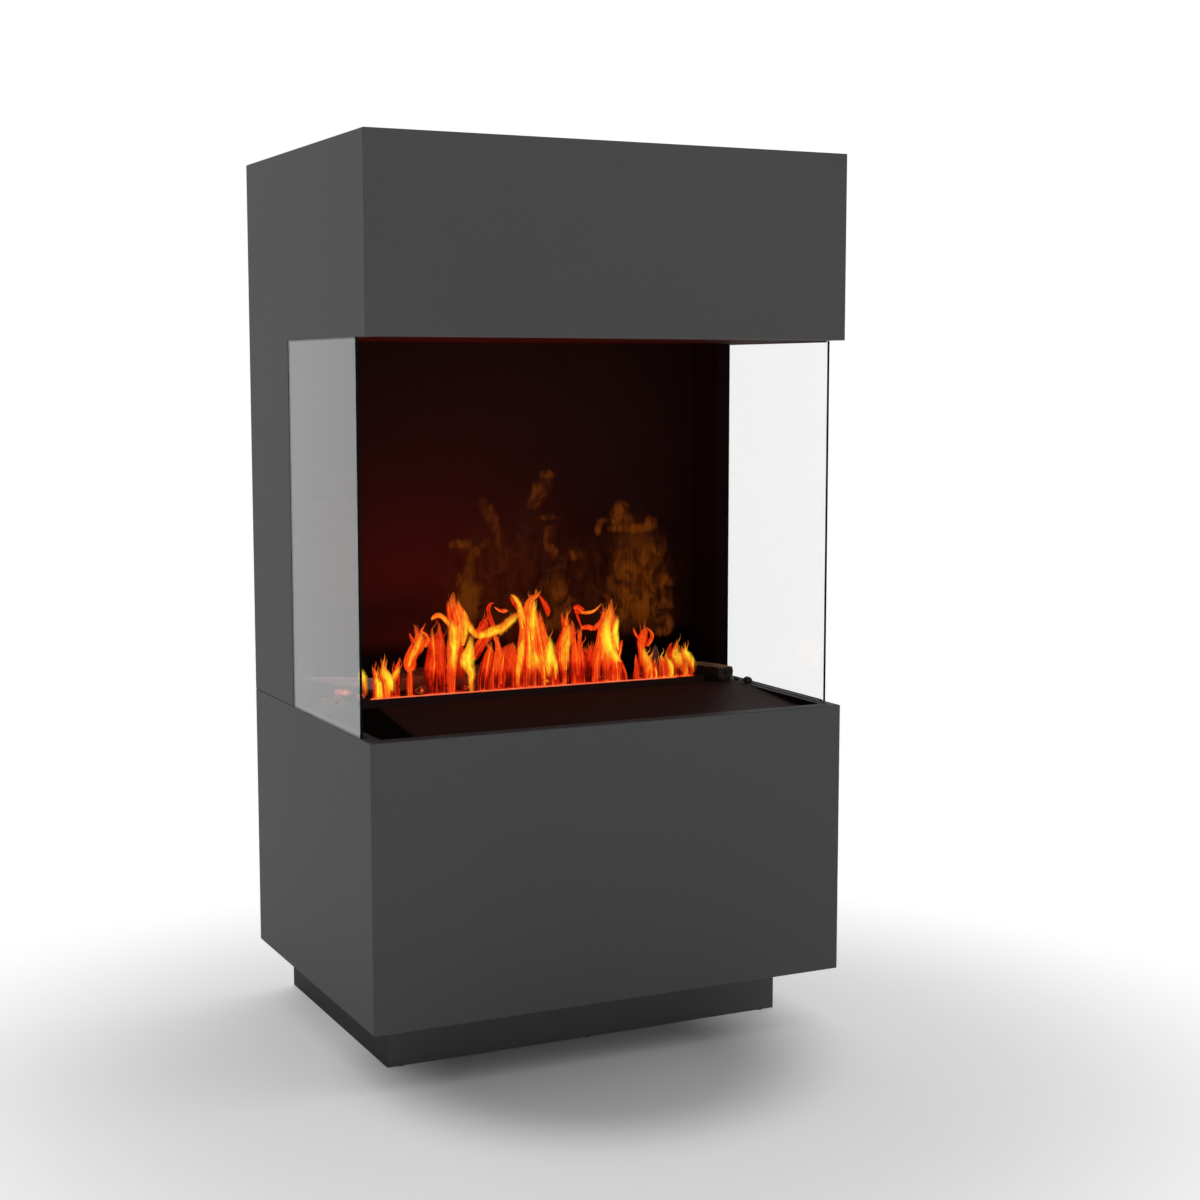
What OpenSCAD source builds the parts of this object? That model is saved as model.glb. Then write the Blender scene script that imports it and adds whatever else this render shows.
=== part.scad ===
// Free-standing water vapour fireplace: a box on a recessed plinth, an open firebox between two
// side glasses, and a hood carried by a rear column. The front faces -Y, +Z is up and the origin
// is at the centre of the footprint, on the floor. Sizes are in millimetres.

/* [Cabinet] */
// Width of the cabinet
cabinet_w = 800; // [780:10:1000]
// Depth of the cabinet
cabinet_d = 580; // [570:10:660]
// Height of the recessed plinth
plinth_h = 90; // [60:5:140]
// Height of the lower box, up to its open rim
base_h = 436; // [425:1:520]
// Height of the open firebox, from the rim to the hood
opening_h = 584; // [450:1:700]
// Height of the hood box
hood_h = 290; // [200:5:400]
// Depth of the rear column that carries the hood
column_d = 213; // [195:1:225]
// Thickness of the cabinet boards
board_t = 25; // [22:1:28]
// Bevel along the outer edges of the boards
arris = 1.2; // [0.6:0.1:1.6]
// Thickness of the two rear boards
back_t = 12; // [9:1:16]
// How far the rear boards sit in from the rear edges
back_inset = 8; // [7:0.5:12]

/* [Plinth] */
// Inset of the plinth at each side
plinth_side_inset = 58; // [30:1:90]
// Inset of the plinth at the front
plinth_front_inset = 106; // [60:1:140]
// Thickness of the plinth boards
plinth_t = 19; // [19:1:25]
// Height of the glides under the plinth
glide_h = 1.2; // [1:0.1:3]
// Radius of the glides
glide_r = 9; // [7:0.5:9]
// Distance from a glide to the end of its board
glide_edge = 24; // [15:1:40]

/* [Joinery] */
// Radius of the dowels between the lower box and the column
dowel_r = 4; // [3:0.5:5]
// Length of the dowels
dowel_l = 40; // [30:2:50]
// Distance from the column's edge to the outer dowels
dowel_edge = 34; // [25:1:45]
// Width and height of the shelf battens
batten_s = 30; // [25:1:35]
// Width of the battens behind the rear boards
rear_batten_s = 20; // [18:1:24]
// Gap from a batten's end to the board across it
batten_end = 12; // [8:1:20]
// Radius of a back screw
screw_r = 1.75; // [1.5:0.25:2.25]
// Length of a back screw under its head
screw_l = 24; // [20:1:28]
// Radius of a back screw's head
screw_head_r = 3.5; // [3:0.5:4.5]
// Height of a back screw's head
screw_head_h = 2; // [1.5:0.5:2.5]
// Distance from the ends of a rear board to its first and last screw
screw_edge = 60; // [50:5:80]
// Radius of the wall fixing holes
wall_hole_r = 3.25; // [2.5:0.25:4]
// Distance between the two wall fixing plates
wall_pitch = 600; // [400:10:640]
// Width of a wall fixing plate
wall_plate_w = 60; // [50:2:80]
// Height of a wall fixing plate
wall_plate_h = 40; // [36:2:60]
// Thickness of a wall fixing plate
wall_plate_t = 3; // [2:0.5:4]
// Distance from the cabinet's top to the wall fixing holes
wall_drop = 62; // [55:1:100]

/* [Firebox] */
// Distance from the column's front edge to the firebox back wall
niche_d = 83; // [75:1:95]
// Thickness of the black steel sheet in the firebox
sheet_t = 2; // [1.5:0.5:2]
// Thickness of the firebox back wall
wall_t = 3; // [2:0.5:5]
// Height of the firebox floor above the rim
floor_rise = 2; // [1:0.5:5]
// Width of the firebox floor in front of the burner
floor_edge = 6.6; // [5:0.2:9]
// Width of the ledges under the floor and the lid
ledge_w = 20; // [15:1:25]
// Height of the ledges' fixing legs
ledge_h = 20; // [15:1:28]

/* [Glass] */
// Thickness of the side glasses
glass_t = 4; // [3:0.5:8]
// Setback of the glass from the cabinet's side face
glass_inset = 0.5; // [0.3:0.1:1]
// Distance from the cabinet's front to the glasses' front edge
glass_front = 45; // [30:1:120]
// Leg length of the glass retaining angles
retainer_s = 8; // [6:1:10]
// Height of the angles' lip along the glass
retainer_lip = 2.6; // [2:0.2:6]
// Thickness of the retaining angles
retainer_t = 1.2; // [1:0.1:2]

/* [Deck lid] */
// Slope of the closed lid towards the front, in degrees
lid_slope = 3.5; // [2:0.25:4.5]
// Gap between the closed lid and the lower box's front board
lid_front_gap = 3; // [2:0.5:5]
// Gap at each side of the lid
lid_side_gap = 2; // [1.5:0.5:4]
// Height of the folded edge along the lid's front
lid_fold = 8; // [6:1:12]
// Distance from the hinge axis to the lid's rear edge
lid_tail = 4; // [3.5:0.5:5]
// Radius of the hinge knuckles
knuckle_r = 3; // [2.8:0.1:3.4]
// Radius of the hinge pins
pin_r = 1.6; // [1.2:0.1:1.8]
// Distance from the middle to each hinge
hinge_x = 250; // [150:5:300]
// Length of a fixed knuckle
knuckle_l = 12; // [8:1:16]
// Length of the lid's knuckle
lid_knuckle_l = 15; // [10:1:20]
// Drop of the hinge brackets and of the floor's folded edge
hinge_drop = 23; // [20:1:28]

/* [Burner] */
// Distance of the mist slot from the cabinet's middle, towards the rear
burner_y = 20; // [16:1:24]
// Distance from the end of the mist slot to the end of the burner box
slot_end = 14; // [12:1:60]
// Width of the slot in the burner cover, mist neck and lamps together
slot_w = 16; // [14:1:18]
// Inner width of the mist neck
neck_w = 8; // [6:1:9]
// Distance from the raised burner box to the cabinet's side boards
burner_room = 63; // [59:1:67]
// Width of the raised burner box
burner_w = 30; // [28:1:32]
// Height of the burner lip above the firebox floor
lip_h = 11; // [8:1:16]
// Clearance round the burner box in the firebox floor
burner_gap = 1; // [0.5:0.5:1.5]
// Height of the lamp bars
led_h = 10; // [8:1:12]
// Height of the lamp lenses
lens_h = 3; // [2:0.5:4]
// Depth of the lamp bars below the burner's top
led_drop = 17; // [15:1:24]

/* [Vapour insert] */
// Distance from the insert housing to the cabinet's side boards, for the fans
housing_room = 55; // [45:1:57]
// Width of the insert housing
housing_w = 130; // [124:1:136]
// Gap between the housing's cover and the firebox floor
housing_gap = 24.5; // [20:0.5:40]
// Thickness of the housing's sheet
housing_t = 2; // [1.5:0.5:2]
// Distance from the sump basin's end to the housing's end
basin_end = 30; // [25:1:40]
// Width of the sump basin
basin_w = 100; // [96:1:104]
// Height of the sump basin
basin_h = 70; // [60:1:76]
// Wall of the sump basin
basin_t = 2.5; // [2:0.5:3]
// Number of ultrasonic transducers
transducer_n = 6; // [4:1:6]
// Distance from the sump basin's end to the first transducer
transducer_end = 80; // [76:1:110]
// Radius of a transducer's body
transducer_r = 17; // [14:1:20]
// Height of a transducer's body
transducer_h = 12; // [10:1:15]
// Thickness of the mist guides
guide_t = 1.5; // [1:0.5:1.5]
// Height of the mist guides' sloping part
guide_slope_h = 78; // [60:1:84]
// Radius of the float's stem
stem_r = 3; // [2.5:0.5:3.5]
// Length of the float's stem
stem_l = 58; // [54:1:64]
// Outer radius of the float ring
float_r = 11; // [9:0.5:12]
// Height of the float ring
float_h = 16; // [12:1:18]
// Travel of the float ring
float_travel = 24; // [20:1:26]
// Distance from the stem to the basin's inner end
float_edge = 20; // [16:1:22]

/* [Fans] */
// Width and height of a fan frame
fan_s = 80; // [78:1:84]
// Thickness of a fan frame
fan_t = 25; // [22:1:28]
// Radius of the air passage through a fan
fan_bore_r = 38; // [36:0.5:38]
// Radius of the rotor's blades
rotor_r = 36; // [34:0.5:36.5]
// Radius of the rotor's hub
hub_r = 15; // [12:0.5:17]
// Number of rotor blades
blade_n = 7; // [5:1:9]
// Pitch of the blades, in degrees
blade_pitch = 38; // [30:1:45]
// Thickness of the blades
blade_t = 1.6; // [1.2:0.2:2]
// Radius of the rotor's shaft
shaft_r = 1.5; // [1.2:0.1:2]
// Distance between a fan frame's screw holes
fan_hole_pitch = 71.5; // [71:0.5:73]
// Radius of a fan frame's screw holes
fan_hole_r = 2.2; // [1.8:0.1:2.4]

/* [Water tank] */
// Length of the tank
tank_l = 240; // [220:1:252]
// Depth of the tank
tank_w = 170; // [150:1:180]
// Height of the tank's body
tank_h = 120; // [105:1:124]
// Wall of the tank
tank_t = 2.5; // [2:0.5:3.5]
// Distance from the tank to the lower box's boards
tank_gap = 20; // [12:1:26]
// Outer radius of the filler neck
filler_r = 28; // [24:1:30]
// Height of the filler neck
filler_h = 18; // [15:1:20]
// Distance from the tank's left end to the filler's middle
filler_x = 56; // [50:1:60]
// Wall of the tank cap
cap_t = 3; // [2:0.5:4]
// Number of grips round the cap
cap_grips = 20; // [12:1:28]
// Radius of the handle's rod
handle_r = 3; // [2.5:0.5:3.5]
// Radius of the handle's grip
grip_r = 6.5; // [5.5:0.5:6.5]
// Length of the handle between its eyes
handle_l = 90; // [80:1:96]
// Reach of the handle from its eyes
handle_reach = 40; // [32:1:44]
// Distance from the tank's right end to the nearer eye
handle_edge = 18; // [14:1:24]
// Thickness of the handle's eyes
eye_t = 6; // [5:1:8]

/* [Pump and pipes] */
// Width, depth and height of the pump's head
pump_s = 40; // [36:1:44]
// Distance from the tank to the pump
pump_gap = 20; // [16:1:30]
// Distance from the pump's head to the tank's rear side
pump_edge = 20; // [12:1:30]
// Radius of the pump's motor
pump_motor_r = 16; // [14:1:17]
// Length of the pump's motor
pump_motor_l = 44; // [36:1:50]
// Thickness of the pump's foot plate
pump_foot_t = 3; // [2:0.5:4]
// Depth of the moulded saddle that holds the pump's motor on its foot
pump_saddle = 1.5; // [1:0.5:2]
// Outer radius of the water pipes
pipe_r = 4; // [3.5:0.5:5]
// Wall of the water pipes
pipe_t = 1; // [0.8:0.1:1.2]
// Height of the suction pipe above the shelf
suction_h = 15; // [12:1:17]
// Height of the feed pipe above the shelf
feed_h = 30; // [28:1:33]
// How far a pipe reaches into what it feeds or drains
pipe_in = 5; // [4:0.5:7]

/* [Controls] */
// Width of the control box
control_w = 190; // [160:1:200]
// Depth of the control box
control_d = 110; // [90:1:120]
// Height of the control box
control_h = 57; // [45:1:70]
// Wall of the control box
control_t = 2.5; // [2:0.5:3]
// Distance from the middle to the control box
control_x = 60; // [60:1:110]
// Radius of the buttons
button_r = 6; // [5:0.5:7]
// How far a button stands above the control lid
button_h = 2.5; // [2:0.5:4]
// Travel of the buttons
button_travel = 1.5; // [1:0.5:1.5]
// Distance between the buttons
button_pitch = 30; // [20:1:36]
// Width of the power supply
supply_w = 160; // [120:1:170]
// Depth of the power supply
supply_d = 98; // [80:1:110]
// Height of the power supply
supply_h = 42; // [34:1:50]
// Distance from the power supply to the side board and to the rear board
supply_room = 60; // [50:1:90]

/* [Rear services] */
// Distance from the cabinet's side to the mains inlet
inlet_edge = 110; // [90:1:160]
// Height of the mains inlet above the lower box's bottom
inlet_up = 120; // [90:1:150]
// Width of the mains inlet's flange
inlet_w = 32; // [30:1:36]
// Height of the mains inlet's flange
inlet_h = 68; // [66:1:76]
// Thickness of the mains inlet's flange
inlet_t = 2.5; // [2:0.5:3]
// Depth of the mains inlet's body behind the flange
inlet_d = 22; // [20:1:30]
// Tilt of the rocker switch to each side, in degrees
rocker_tilt = 8; // [5:1:9]
// Width of the air filter's opening
filter_w = 240; // [200:1:260]
// Height of the air filter's opening
filter_h = 90; // [80:1:100]
// Depth of the filter sleeve
filter_d = 42; // [36:1:46]
// Distance from the middle to the filter, towards the left
filter_x = 120; // [100:1:150]
// Height of the filter above the insert shelf
filter_up = 50; // [40:1:60]
// Wall of the filter sleeve and of its tray
filter_t = 2; // [1.5:0.5:2.5]
// Width of a vent slot
vent_w = 8; // [6:1:9]
// Height of a vent slot
vent_h = 50; // [30:1:60]
// Distance between vent slots
vent_pitch = 24; // [18:1:30]
// Number of vent slots in a row
vent_n = 10; // [6:1:12]
// Height of the lower vents above the lower box's bottom board
base_vent_up = 30; // [20:1:60]
// Height of the upper vents above the soffit
hood_vent_up = 40; // [20:1:60]

/* [Logs and charcoal] */
// Length of the split log at the right end of the burner
right_log_l = 128; // [110:1:132]
// Radius of the right log
right_log_r = 21; // [18:1:22]
// Length of the log at the left end of the burner
left_log_l = 116; // [100:1:120]
// Radius of the left log
left_log_r = 23; // [18:1:24]
// Length of the log behind the burner
back_log_l = 380; // [300:1:420]
// Radius of the log behind the burner
back_log_r = 24; // [18:1:26]
// Height of the split log end that stands behind the burner
split_log_h = 58; // [45:1:70]
// Half the width of the split log end
split_log_r = 26; // [20:1:28]
// Distance from the right log's middle to the side board
right_log_side = 30; // [29:1:40]
// Distance from the right log's middle to the firebox back wall
right_log_wall = 86; // [80:1:90]
// Distance from the left log's middle to the side board
left_log_side = 69; // [66:1:80]
// Distance from the left log's middle to the firebox back wall
left_log_wall = 65; // [60:1:70]
// Distance of the back log's middle from the cabinet's middle, towards the left
back_log_x = 42; // [0:1:60]
// Distance from the back log's middle to the firebox back wall
back_log_wall = 48; // [40:1:56]
// Distance from the split log end to the end of the mist slot
split_log_in = 38; // [30:1:60]
// Distance from the split log end to the firebox back wall
split_log_wall = 58; // [50:1:62]
// Radius of a charcoal lump
lump_r = 10; // [8:0.5:11]
// Radius of the lump on the rim
rim_lump_r = 5.5; // [4:0.5:6]

/* [Fits] */
// Clearance between pieces that slide or drop in
slip = 0.3; // [0.2:0.05:0.5]
// Clearance of a dowel or a screw in its hole
snug = 0.05; // [0.02:0.01:0.1]
// Clearance of a pin or a shaft that turns
running = 0.06; // [0.03:0.01:0.1]
// Clearance round what swings
swing = 1; // [0.6:0.1:1.5]

/* [Hidden] */
$fn = 48;
hx = cabinet_w / 2;
hy = cabinet_d / 2;
base_z = plinth_h;
rim_z = base_z + base_h;
soffit_z = rim_z + opening_h;
top_z = soffit_z + hood_h;
inner_x = hx - board_t;
front_y = -hy + board_t;
column_y = hy - column_d;
back_y0 = hy - back_inset - back_t;
back_y1 = hy - back_inset;
plinth_x = hx - plinth_side_inset;
plinth_y = -hy + plinth_front_inset;
wall_y = column_y + niche_d;
floor_top = rim_z + floor_rise;
floor_z = floor_top - sheet_t;
glass_x = hx - glass_inset - glass_t;
inlet_x = hx - inlet_edge;

// Lengths of the burner and of the vapour insert, between the side boards
burner_l = 2 * (inner_x - burner_room);
slot_l = burner_l - 2 * slot_end;
housing_l = 2 * (inner_x - housing_room);
basin_l = housing_l - 2 * basin_end;
transducer_pitch = (basin_l - 2 * transducer_end) / (transducer_n - 1);

// Hinge axis of the deck lid, under the lid's rear edge
knuckle_gap = 0.5;
lid_over = knuckle_r + knuckle_gap;
hinge_z = floor_top - lid_over - sheet_t;
lid_sweep = sqrt(pow(lid_tail, 2) + pow(lid_over + sheet_t, 2));
floor_front = burner_y - burner_w / 2 - burner_gap - floor_edge;
hinge_y = floor_front - swing - lid_sweep;
lid_l = hinge_y - front_y - lid_front_gap;
lid_x = inner_x - lid_side_gap;
hinge_foot_z = floor_z - hinge_drop;

burner_top = floor_top + lip_h;
cover_z = floor_z - housing_gap;
cover_t = 1.5;
box_t = 1.5;
shelf_t = 19;
housing_h = 181;
shelf_top = cover_z - housing_h;
shelf_z = shelf_top - shelf_t;
housing_x = housing_l / 2;
basin_z = shelf_top + housing_t;
basin_in_z = basin_z + basin_t;
guide_z = basin_z + basin_h;
neck_z = guide_z + guide_slope_h;
led_z = burner_top - led_drop;
fan_z = guide_z + 1 + fan_bore_r;
supply_z = base_z + board_t;

tank_x0 = -inner_x + tank_gap + 15;
tank_y0 = front_y + tank_gap;
tank_top = shelf_top + tank_h;
filler_px = tank_x0 + filler_x;
filler_py = tank_y0 + tank_w / 2;
handle_px = tank_x0 + tank_l - handle_edge - handle_l / 2;
handle_py = tank_y0 + tank_w / 2 + handle_reach / 2;
handle_pz = tank_top + grip_r + slip;
pump_x0 = tank_x0 + tank_l + pump_gap;
pump_y0 = tank_y0 + tank_w - pump_s - pump_edge;
control_y0 = front_y + tank_gap + 10;
control_z1 = shelf_top + control_h;
button_y = control_y0 + control_d / 2;
inlet_z = base_z + inlet_up;
rocker_y = back_y1 - 2;
rocker_z = inlet_z + 17;
filter_z = shelf_top + filter_up;
filter_y0 = back_y1 - filter_d;
dowel_ys = [column_y + dowel_edge, (column_y + hy) / 2, hy - dowel_edge];
wall_hole_z = top_z - wall_drop;
log_n = 14;
log_rings = 9;

// A block between its lowest and highest corners
module block(lo, hi) { translate(lo) cube(hi - lo); }

// An outline in X and Y, raised from z0 to z1
module upright(z0, z1) { translate([0, 0, z0]) linear_extrude(z1 - z0) children(); }

// An outline in Y and Z, drawn out from x0 to x1
module along_x(x0, x1) { translate([x0, 0, 0]) rotate([90, 0, 90]) linear_extrude(x1 - x0) children(); }

// An outline in X and Z, drawn out from y0 to y1
module along_y(y0, y1) { translate([0, y1, 0]) rotate([90, 0, 0]) linear_extrude(y1 - y0) children(); }

// A round bar or bore along X
module rod_x(x0, x1, r) { translate([x0, 0, 0]) rotate([0, 90, 0]) cylinder(r = r, h = x1 - x0); }

// A round bar or bore along Y
module rod_y(y0, y1, r) { translate([0, y1, 0]) rotate([90, 0, 0]) cylinder(r = r, h = y1 - y0); }

// A slot outline with round ends, upright
module slot_shape(w, h) {
    square([w, h - w], center = true);
    for (s = [-1, 1]) translate([0, s * (h - w) / 2]) circle(r = w / 2);
}

// Plan of a side board: mitred to the front board, bevelled at its outer corners
module side_plan() {
    polygon([[-hx, -hy + arris], [-hx + arris / 2, -hy + arris / 2], [-inner_x, front_y],
        [-inner_x, hy], [-hx + arris, hy], [-hx, hy - arris]]);
}

// Cross-section of a side board, bevelled along its outer edges
module side_section(z0, z1) {
    polygon([[-hx, z0 + arris], [-hx, z1 - arris], [-hx + arris, z1],
        [-inner_x, z1], [-inner_x, z0], [-hx + arris, z0]]);
}

module side_board(z0, z1) {
    intersection() {
        upright(z0, z1) side_plan();
        along_y(-hy, hy) side_section(z0, z1);
    }
}

// A front board with mitred ends, bevelled along its outer edges
module front_board(z0, z1) {
    intersection() {
        upright(z0, z1) polygon([[-hx + arris, -hy], [hx - arris, -hy],
            [hx - arris / 2, -hy + arris / 2], [inner_x, front_y],
            [-inner_x, front_y], [-hx + arris / 2, -hy + arris / 2]]);
        along_x(-hx, hx) polygon([[-hy, z0 + arris], [-hy, z1 - arris], [-hy + arris, z1],
            [front_y, z1], [front_y, z0], [-hy + arris, z0]]);
    }
}

// Holes for the dowels between the lower box and the column, at the left
module dowel_holes() {
    for (y = dowel_ys)
        translate([-hx + board_t / 2, y, rim_z - dowel_l / 2 - slip])
            cylinder(r = dowel_r + snug, h = dowel_l + 2 * slip);
}

// Heights of the screws along a rear board between z0 and z1
function screw_heights(z0, z1) = [z0 + screw_edge, (z0 + z1) / 2, z1 - screw_edge];

// Holes or shanks of the screws of one rear board, at both sides
module back_screw_row(z0, z1, y0, r) {
    for (s = [-1, 1], z = screw_heights(z0, z1))
        translate([s * (inner_x - rear_batten_s / 2), 0, z]) rod_y(y0, back_y1 + slip, r);
}

// A row of vent slots through a rear board
module vent_row(z) {
    for (i = [0 : vent_n - 1])
        translate([(i - (vent_n - 1) / 2) * vent_pitch, 0, z])
            along_y(back_y0 - 1, back_y1 + 1) slot_shape(vent_w, vent_h);
}

// Four boards in a frame under the lower box
module plinth_boards() {
    color("#2b2b2b") {
        block([-plinth_x, plinth_y, glide_h], [plinth_x, plinth_y + plinth_t, base_z]);
        block([-plinth_x, hy - plinth_t, glide_h], [plinth_x, hy, base_z]);
        for (x = [-plinth_x, plinth_x - plinth_t])
            block([x, plinth_y + plinth_t, glide_h], [x + plinth_t, hy - plinth_t, base_z]);
    }
}

// Six glides that the plinth stands on
module plinth_glides() {
    color("#151515")
        for (x = [-1, 0, 1], y = [plinth_y + plinth_t / 2, hy - plinth_t / 2])
            translate([x * (plinth_x - glide_edge), y, 0]) cylinder(r = glide_r, h = glide_h);
}

module base_bottom() {
    color("#3a3a3a") block([-inner_x, front_y, base_z], [inner_x, back_y1, base_z + board_t]);
}

module base_left() {
    color("#434343") difference() {
        side_board(base_z, rim_z);
        dowel_holes();
    }
}

module base_right() { mirror([1, 0, 0]) base_left(); }

module base_front() { color("#434343") front_board(base_z, rim_z); }

// Rear board of the lower box: vents, filter opening, inlet opening and screw holes
module base_back() {
    color("#333333") difference() {
        block([-inner_x, back_y0, base_z + board_t], [inner_x, back_y1, rim_z]);
        vent_row(base_z + board_t + vent_h / 2 + base_vent_up);
        block([-filter_x - filter_w / 2 - filter_t - slip, back_y0 - 1, filter_z - filter_t - slip],
            [-filter_x + filter_w / 2 + filter_t + slip, back_y1 + 1,
                filter_z + filter_h + filter_t + slip]);
        block([inlet_x - inlet_w / 2 + 2, back_y0 - 1, inlet_z - inlet_h / 2 + 2],
            [inlet_x + inlet_w / 2 - 2, back_y1 + 1, inlet_z + inlet_h / 2 - 2]);
        back_screw_row(base_z + board_t, rim_z, back_y0 - slip, screw_r + snug);
    }
}

// Shelf that carries the insert, the tank, the pump and the control box
module insert_shelf() {
    color("#6b5a45")
        block([-inner_x + slip, front_y + slip, shelf_z],
            [inner_x - slip, back_y0 - rear_batten_s - slip, shelf_top]);
}

// Battens: two under the shelf, and two behind each rear board
module battens() {
    color("#c9a671") for (s = [0, 1]) mirror([s, 0, 0]) {
        block([-inner_x, front_y + batten_end, shelf_z - batten_s],
            [-inner_x + batten_s, back_y0 - rear_batten_s - batten_end, shelf_z]);
        for (z = [[base_z + board_t, rim_z], [rim_z, top_z - board_t]])
            difference() {
                block([-inner_x, back_y0 - rear_batten_s, z[0] + batten_end],
                    [-inner_x + rear_batten_s, back_y0, z[1] - batten_end]);
                back_screw_row(z[0], z[1], back_y1 - screw_l - slip, screw_r + snug);
                block([-inner_x - 1, back_y0 - rear_batten_s - 1, soffit_z - slip],
                    [-inner_x + rear_batten_s + 1, back_y0 + 1, soffit_z + board_t + slip]);
            }
    }
}

// Screws that hold the rear boards to their battens
module back_screws() {
    color("#8d8d90")
        for (z = [[base_z + board_t, rim_z], [rim_z, top_z - board_t]],
             s = [-1, 1], h = screw_heights(z[0], z[1]))
            translate([s * (inner_x - rear_batten_s / 2), 0, h]) {
                rod_y(back_y1 - screw_l, back_y1 + snug, screw_r);
                rod_y(back_y1, back_y1 + screw_head_h, screw_head_r);
            }
}

module column_dowels() {
    color("#c9a671") for (s = [-1, 1], y = dowel_ys)
        translate([s * (hx - board_t / 2), y, rim_z - dowel_l / 2]) cylinder(r = dowel_r, h = dowel_l);
}

// Steel plates with a hole each, to fix the cabinet to a wall
module wall_plates() {
    color("#9a9a9c") for (s = [-1, 1])
        difference() {
            block([s * wall_pitch / 2 - wall_plate_w / 2, back_y1, wall_hole_z - wall_plate_h / 2],
                [s * wall_pitch / 2 + wall_plate_w / 2, back_y1 + wall_plate_t,
                    wall_hole_z + wall_plate_h / 2]);
            translate([s * wall_pitch / 2, 0, wall_hole_z])
                rod_y(back_y1 - 1, back_y1 + wall_plate_t + 1, wall_hole_r);
        }
}

// Steel angles under the firebox floor's sides and under the lid's front edge
module deck_ledges() {
    lid_front_z = hinge_z + lid_over * cos(lid_slope) - lid_l * sin(lid_slope)
        - lid_fold * cos(lid_slope) - slip;
    color("#1c1c1c") {
        for (s = [0, 1]) mirror([s, 0, 0])
            along_y(floor_front + sheet_t + slip, wall_y + wall_t + 3)
                polygon([[-inner_x, floor_z], [-inner_x + ledge_w, floor_z],
                    [-inner_x + ledge_w, floor_z - sheet_t], [-inner_x + sheet_t, floor_z - sheet_t],
                    [-inner_x + sheet_t, floor_z - ledge_h], [-inner_x, floor_z - ledge_h]]);
        along_x(-lid_x, lid_x)
            polygon([[front_y, lid_front_z], [front_y + ledge_w, lid_front_z],
                [front_y + ledge_w, lid_front_z - sheet_t], [front_y + sheet_t, lid_front_z - sheet_t],
                [front_y + sheet_t, lid_front_z - ledge_h], [front_y, lid_front_z - ledge_h]]);
    }
}

// Black floor round and behind the burner, folded down along its front
module firebox_floor() {
    floor_x = inner_x - sheet_t - slip;
    color("#161616") difference() {
        union() {
            block([-floor_x, floor_front, floor_z], [floor_x, wall_y + wall_t + 3, floor_top]);
            block([-floor_x + ledge_w, floor_front, hinge_foot_z],
                [floor_x - ledge_w, floor_front + sheet_t, floor_top]);
        }
        block([-burner_l / 2 - burner_gap, burner_y - burner_w / 2 - burner_gap, floor_z - 1],
            [burner_l / 2 + burner_gap, burner_y + burner_w / 2 + burner_gap, floor_top + 1]);
    }
}

// Sloping deck in front of the burner: a sheet with a folded front edge and two knuckles
module deck_lid() {
    color("#1a1a1a") translate([0, hinge_y, hinge_z]) rotate([lid_slope, 0, 0]) {
        block([-lid_x, -lid_l, lid_over], [lid_x, lid_tail, lid_over + sheet_t]);
        block([-lid_x, -lid_l, lid_over - lid_fold], [lid_x, -lid_l + sheet_t, lid_over + 0.1]);
        for (s = [-1, 1])
            difference() {
                union() {
                    translate([s * hinge_x, 0, 0]) rod_x(-lid_knuckle_l / 2, lid_knuckle_l / 2, knuckle_r);
                    block([s * hinge_x - lid_knuckle_l / 2, -knuckle_r, 0],
                        [s * hinge_x + lid_knuckle_l / 2, knuckle_r, lid_over + 0.1]);
                }
                translate([s * hinge_x, 0, 0]) rod_x(-lid_knuckle_l, lid_knuckle_l, pin_r + running);
            }
    }
}

// Two hinge brackets on the floor's front fold, each with two eyes and a riveted pin
module lid_hinges() {
    eye_x = lid_knuckle_l / 2 + slip;
    web_t = sheet_t + 1;
    color("#3c3c3c") for (s = [-1, 1]) translate([s * hinge_x, hinge_y, 0]) {
        translate([0, 0, hinge_z]) rod_x(-eye_x - knuckle_l - 1, eye_x + knuckle_l + 1, pin_r);
        for (e = [0, 1]) mirror([e, 0, 0]) {
            translate([0, 0, hinge_z]) rod_x(eye_x, eye_x + knuckle_l, knuckle_r);
            block([eye_x, -web_t / 2, hinge_foot_z], [eye_x + knuckle_l, web_t / 2, hinge_z]);
        }
        block([-eye_x - knuckle_l, -web_t / 2, hinge_foot_z],
            [eye_x + knuckle_l, floor_front - hinge_y, hinge_foot_z + sheet_t]);
    }
}

// Open-topped sheet steel trough with a hole for each fan and one for the feed pipe
module insert_housing() {
    y0 = burner_y - housing_w / 2;
    y1 = burner_y + housing_w / 2;
    color("#8f9193") difference() {
        block([-housing_x, y0, shelf_top], [housing_x, y1, cover_z]);
        block([-housing_x + housing_t, y0 + housing_t, shelf_top + housing_t],
            [housing_x - housing_t, y1 - housing_t, cover_z + 1]);
        translate([0, burner_y, fan_z]) rod_x(-housing_x - 1, housing_x + 1, fan_bore_r);
        translate([pump_x0 + pump_s / 2, 0, shelf_top + feed_h])
            rod_y(y0 - 1, y0 + housing_t + 1, pipe_r + slip);
    }
}

// Water basin under the mist guides
module sump_basin() {
    y0 = burner_y - basin_w / 2;
    color("#25282b") difference() {
        block([-basin_l / 2, y0, basin_z], [basin_l / 2, y0 + basin_w, basin_z + basin_h]);
        block([-basin_l / 2 + basin_t, y0 + basin_t, basin_in_z],
            [basin_l / 2 - basin_t, y0 + basin_w - basin_t, basin_z + basin_h + 1]);
        translate([pump_x0 + pump_s / 2, 0, shelf_top + feed_h])
            rod_y(y0 - 1, y0 + basin_t + 1, pipe_r + snug);
    }
}

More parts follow.
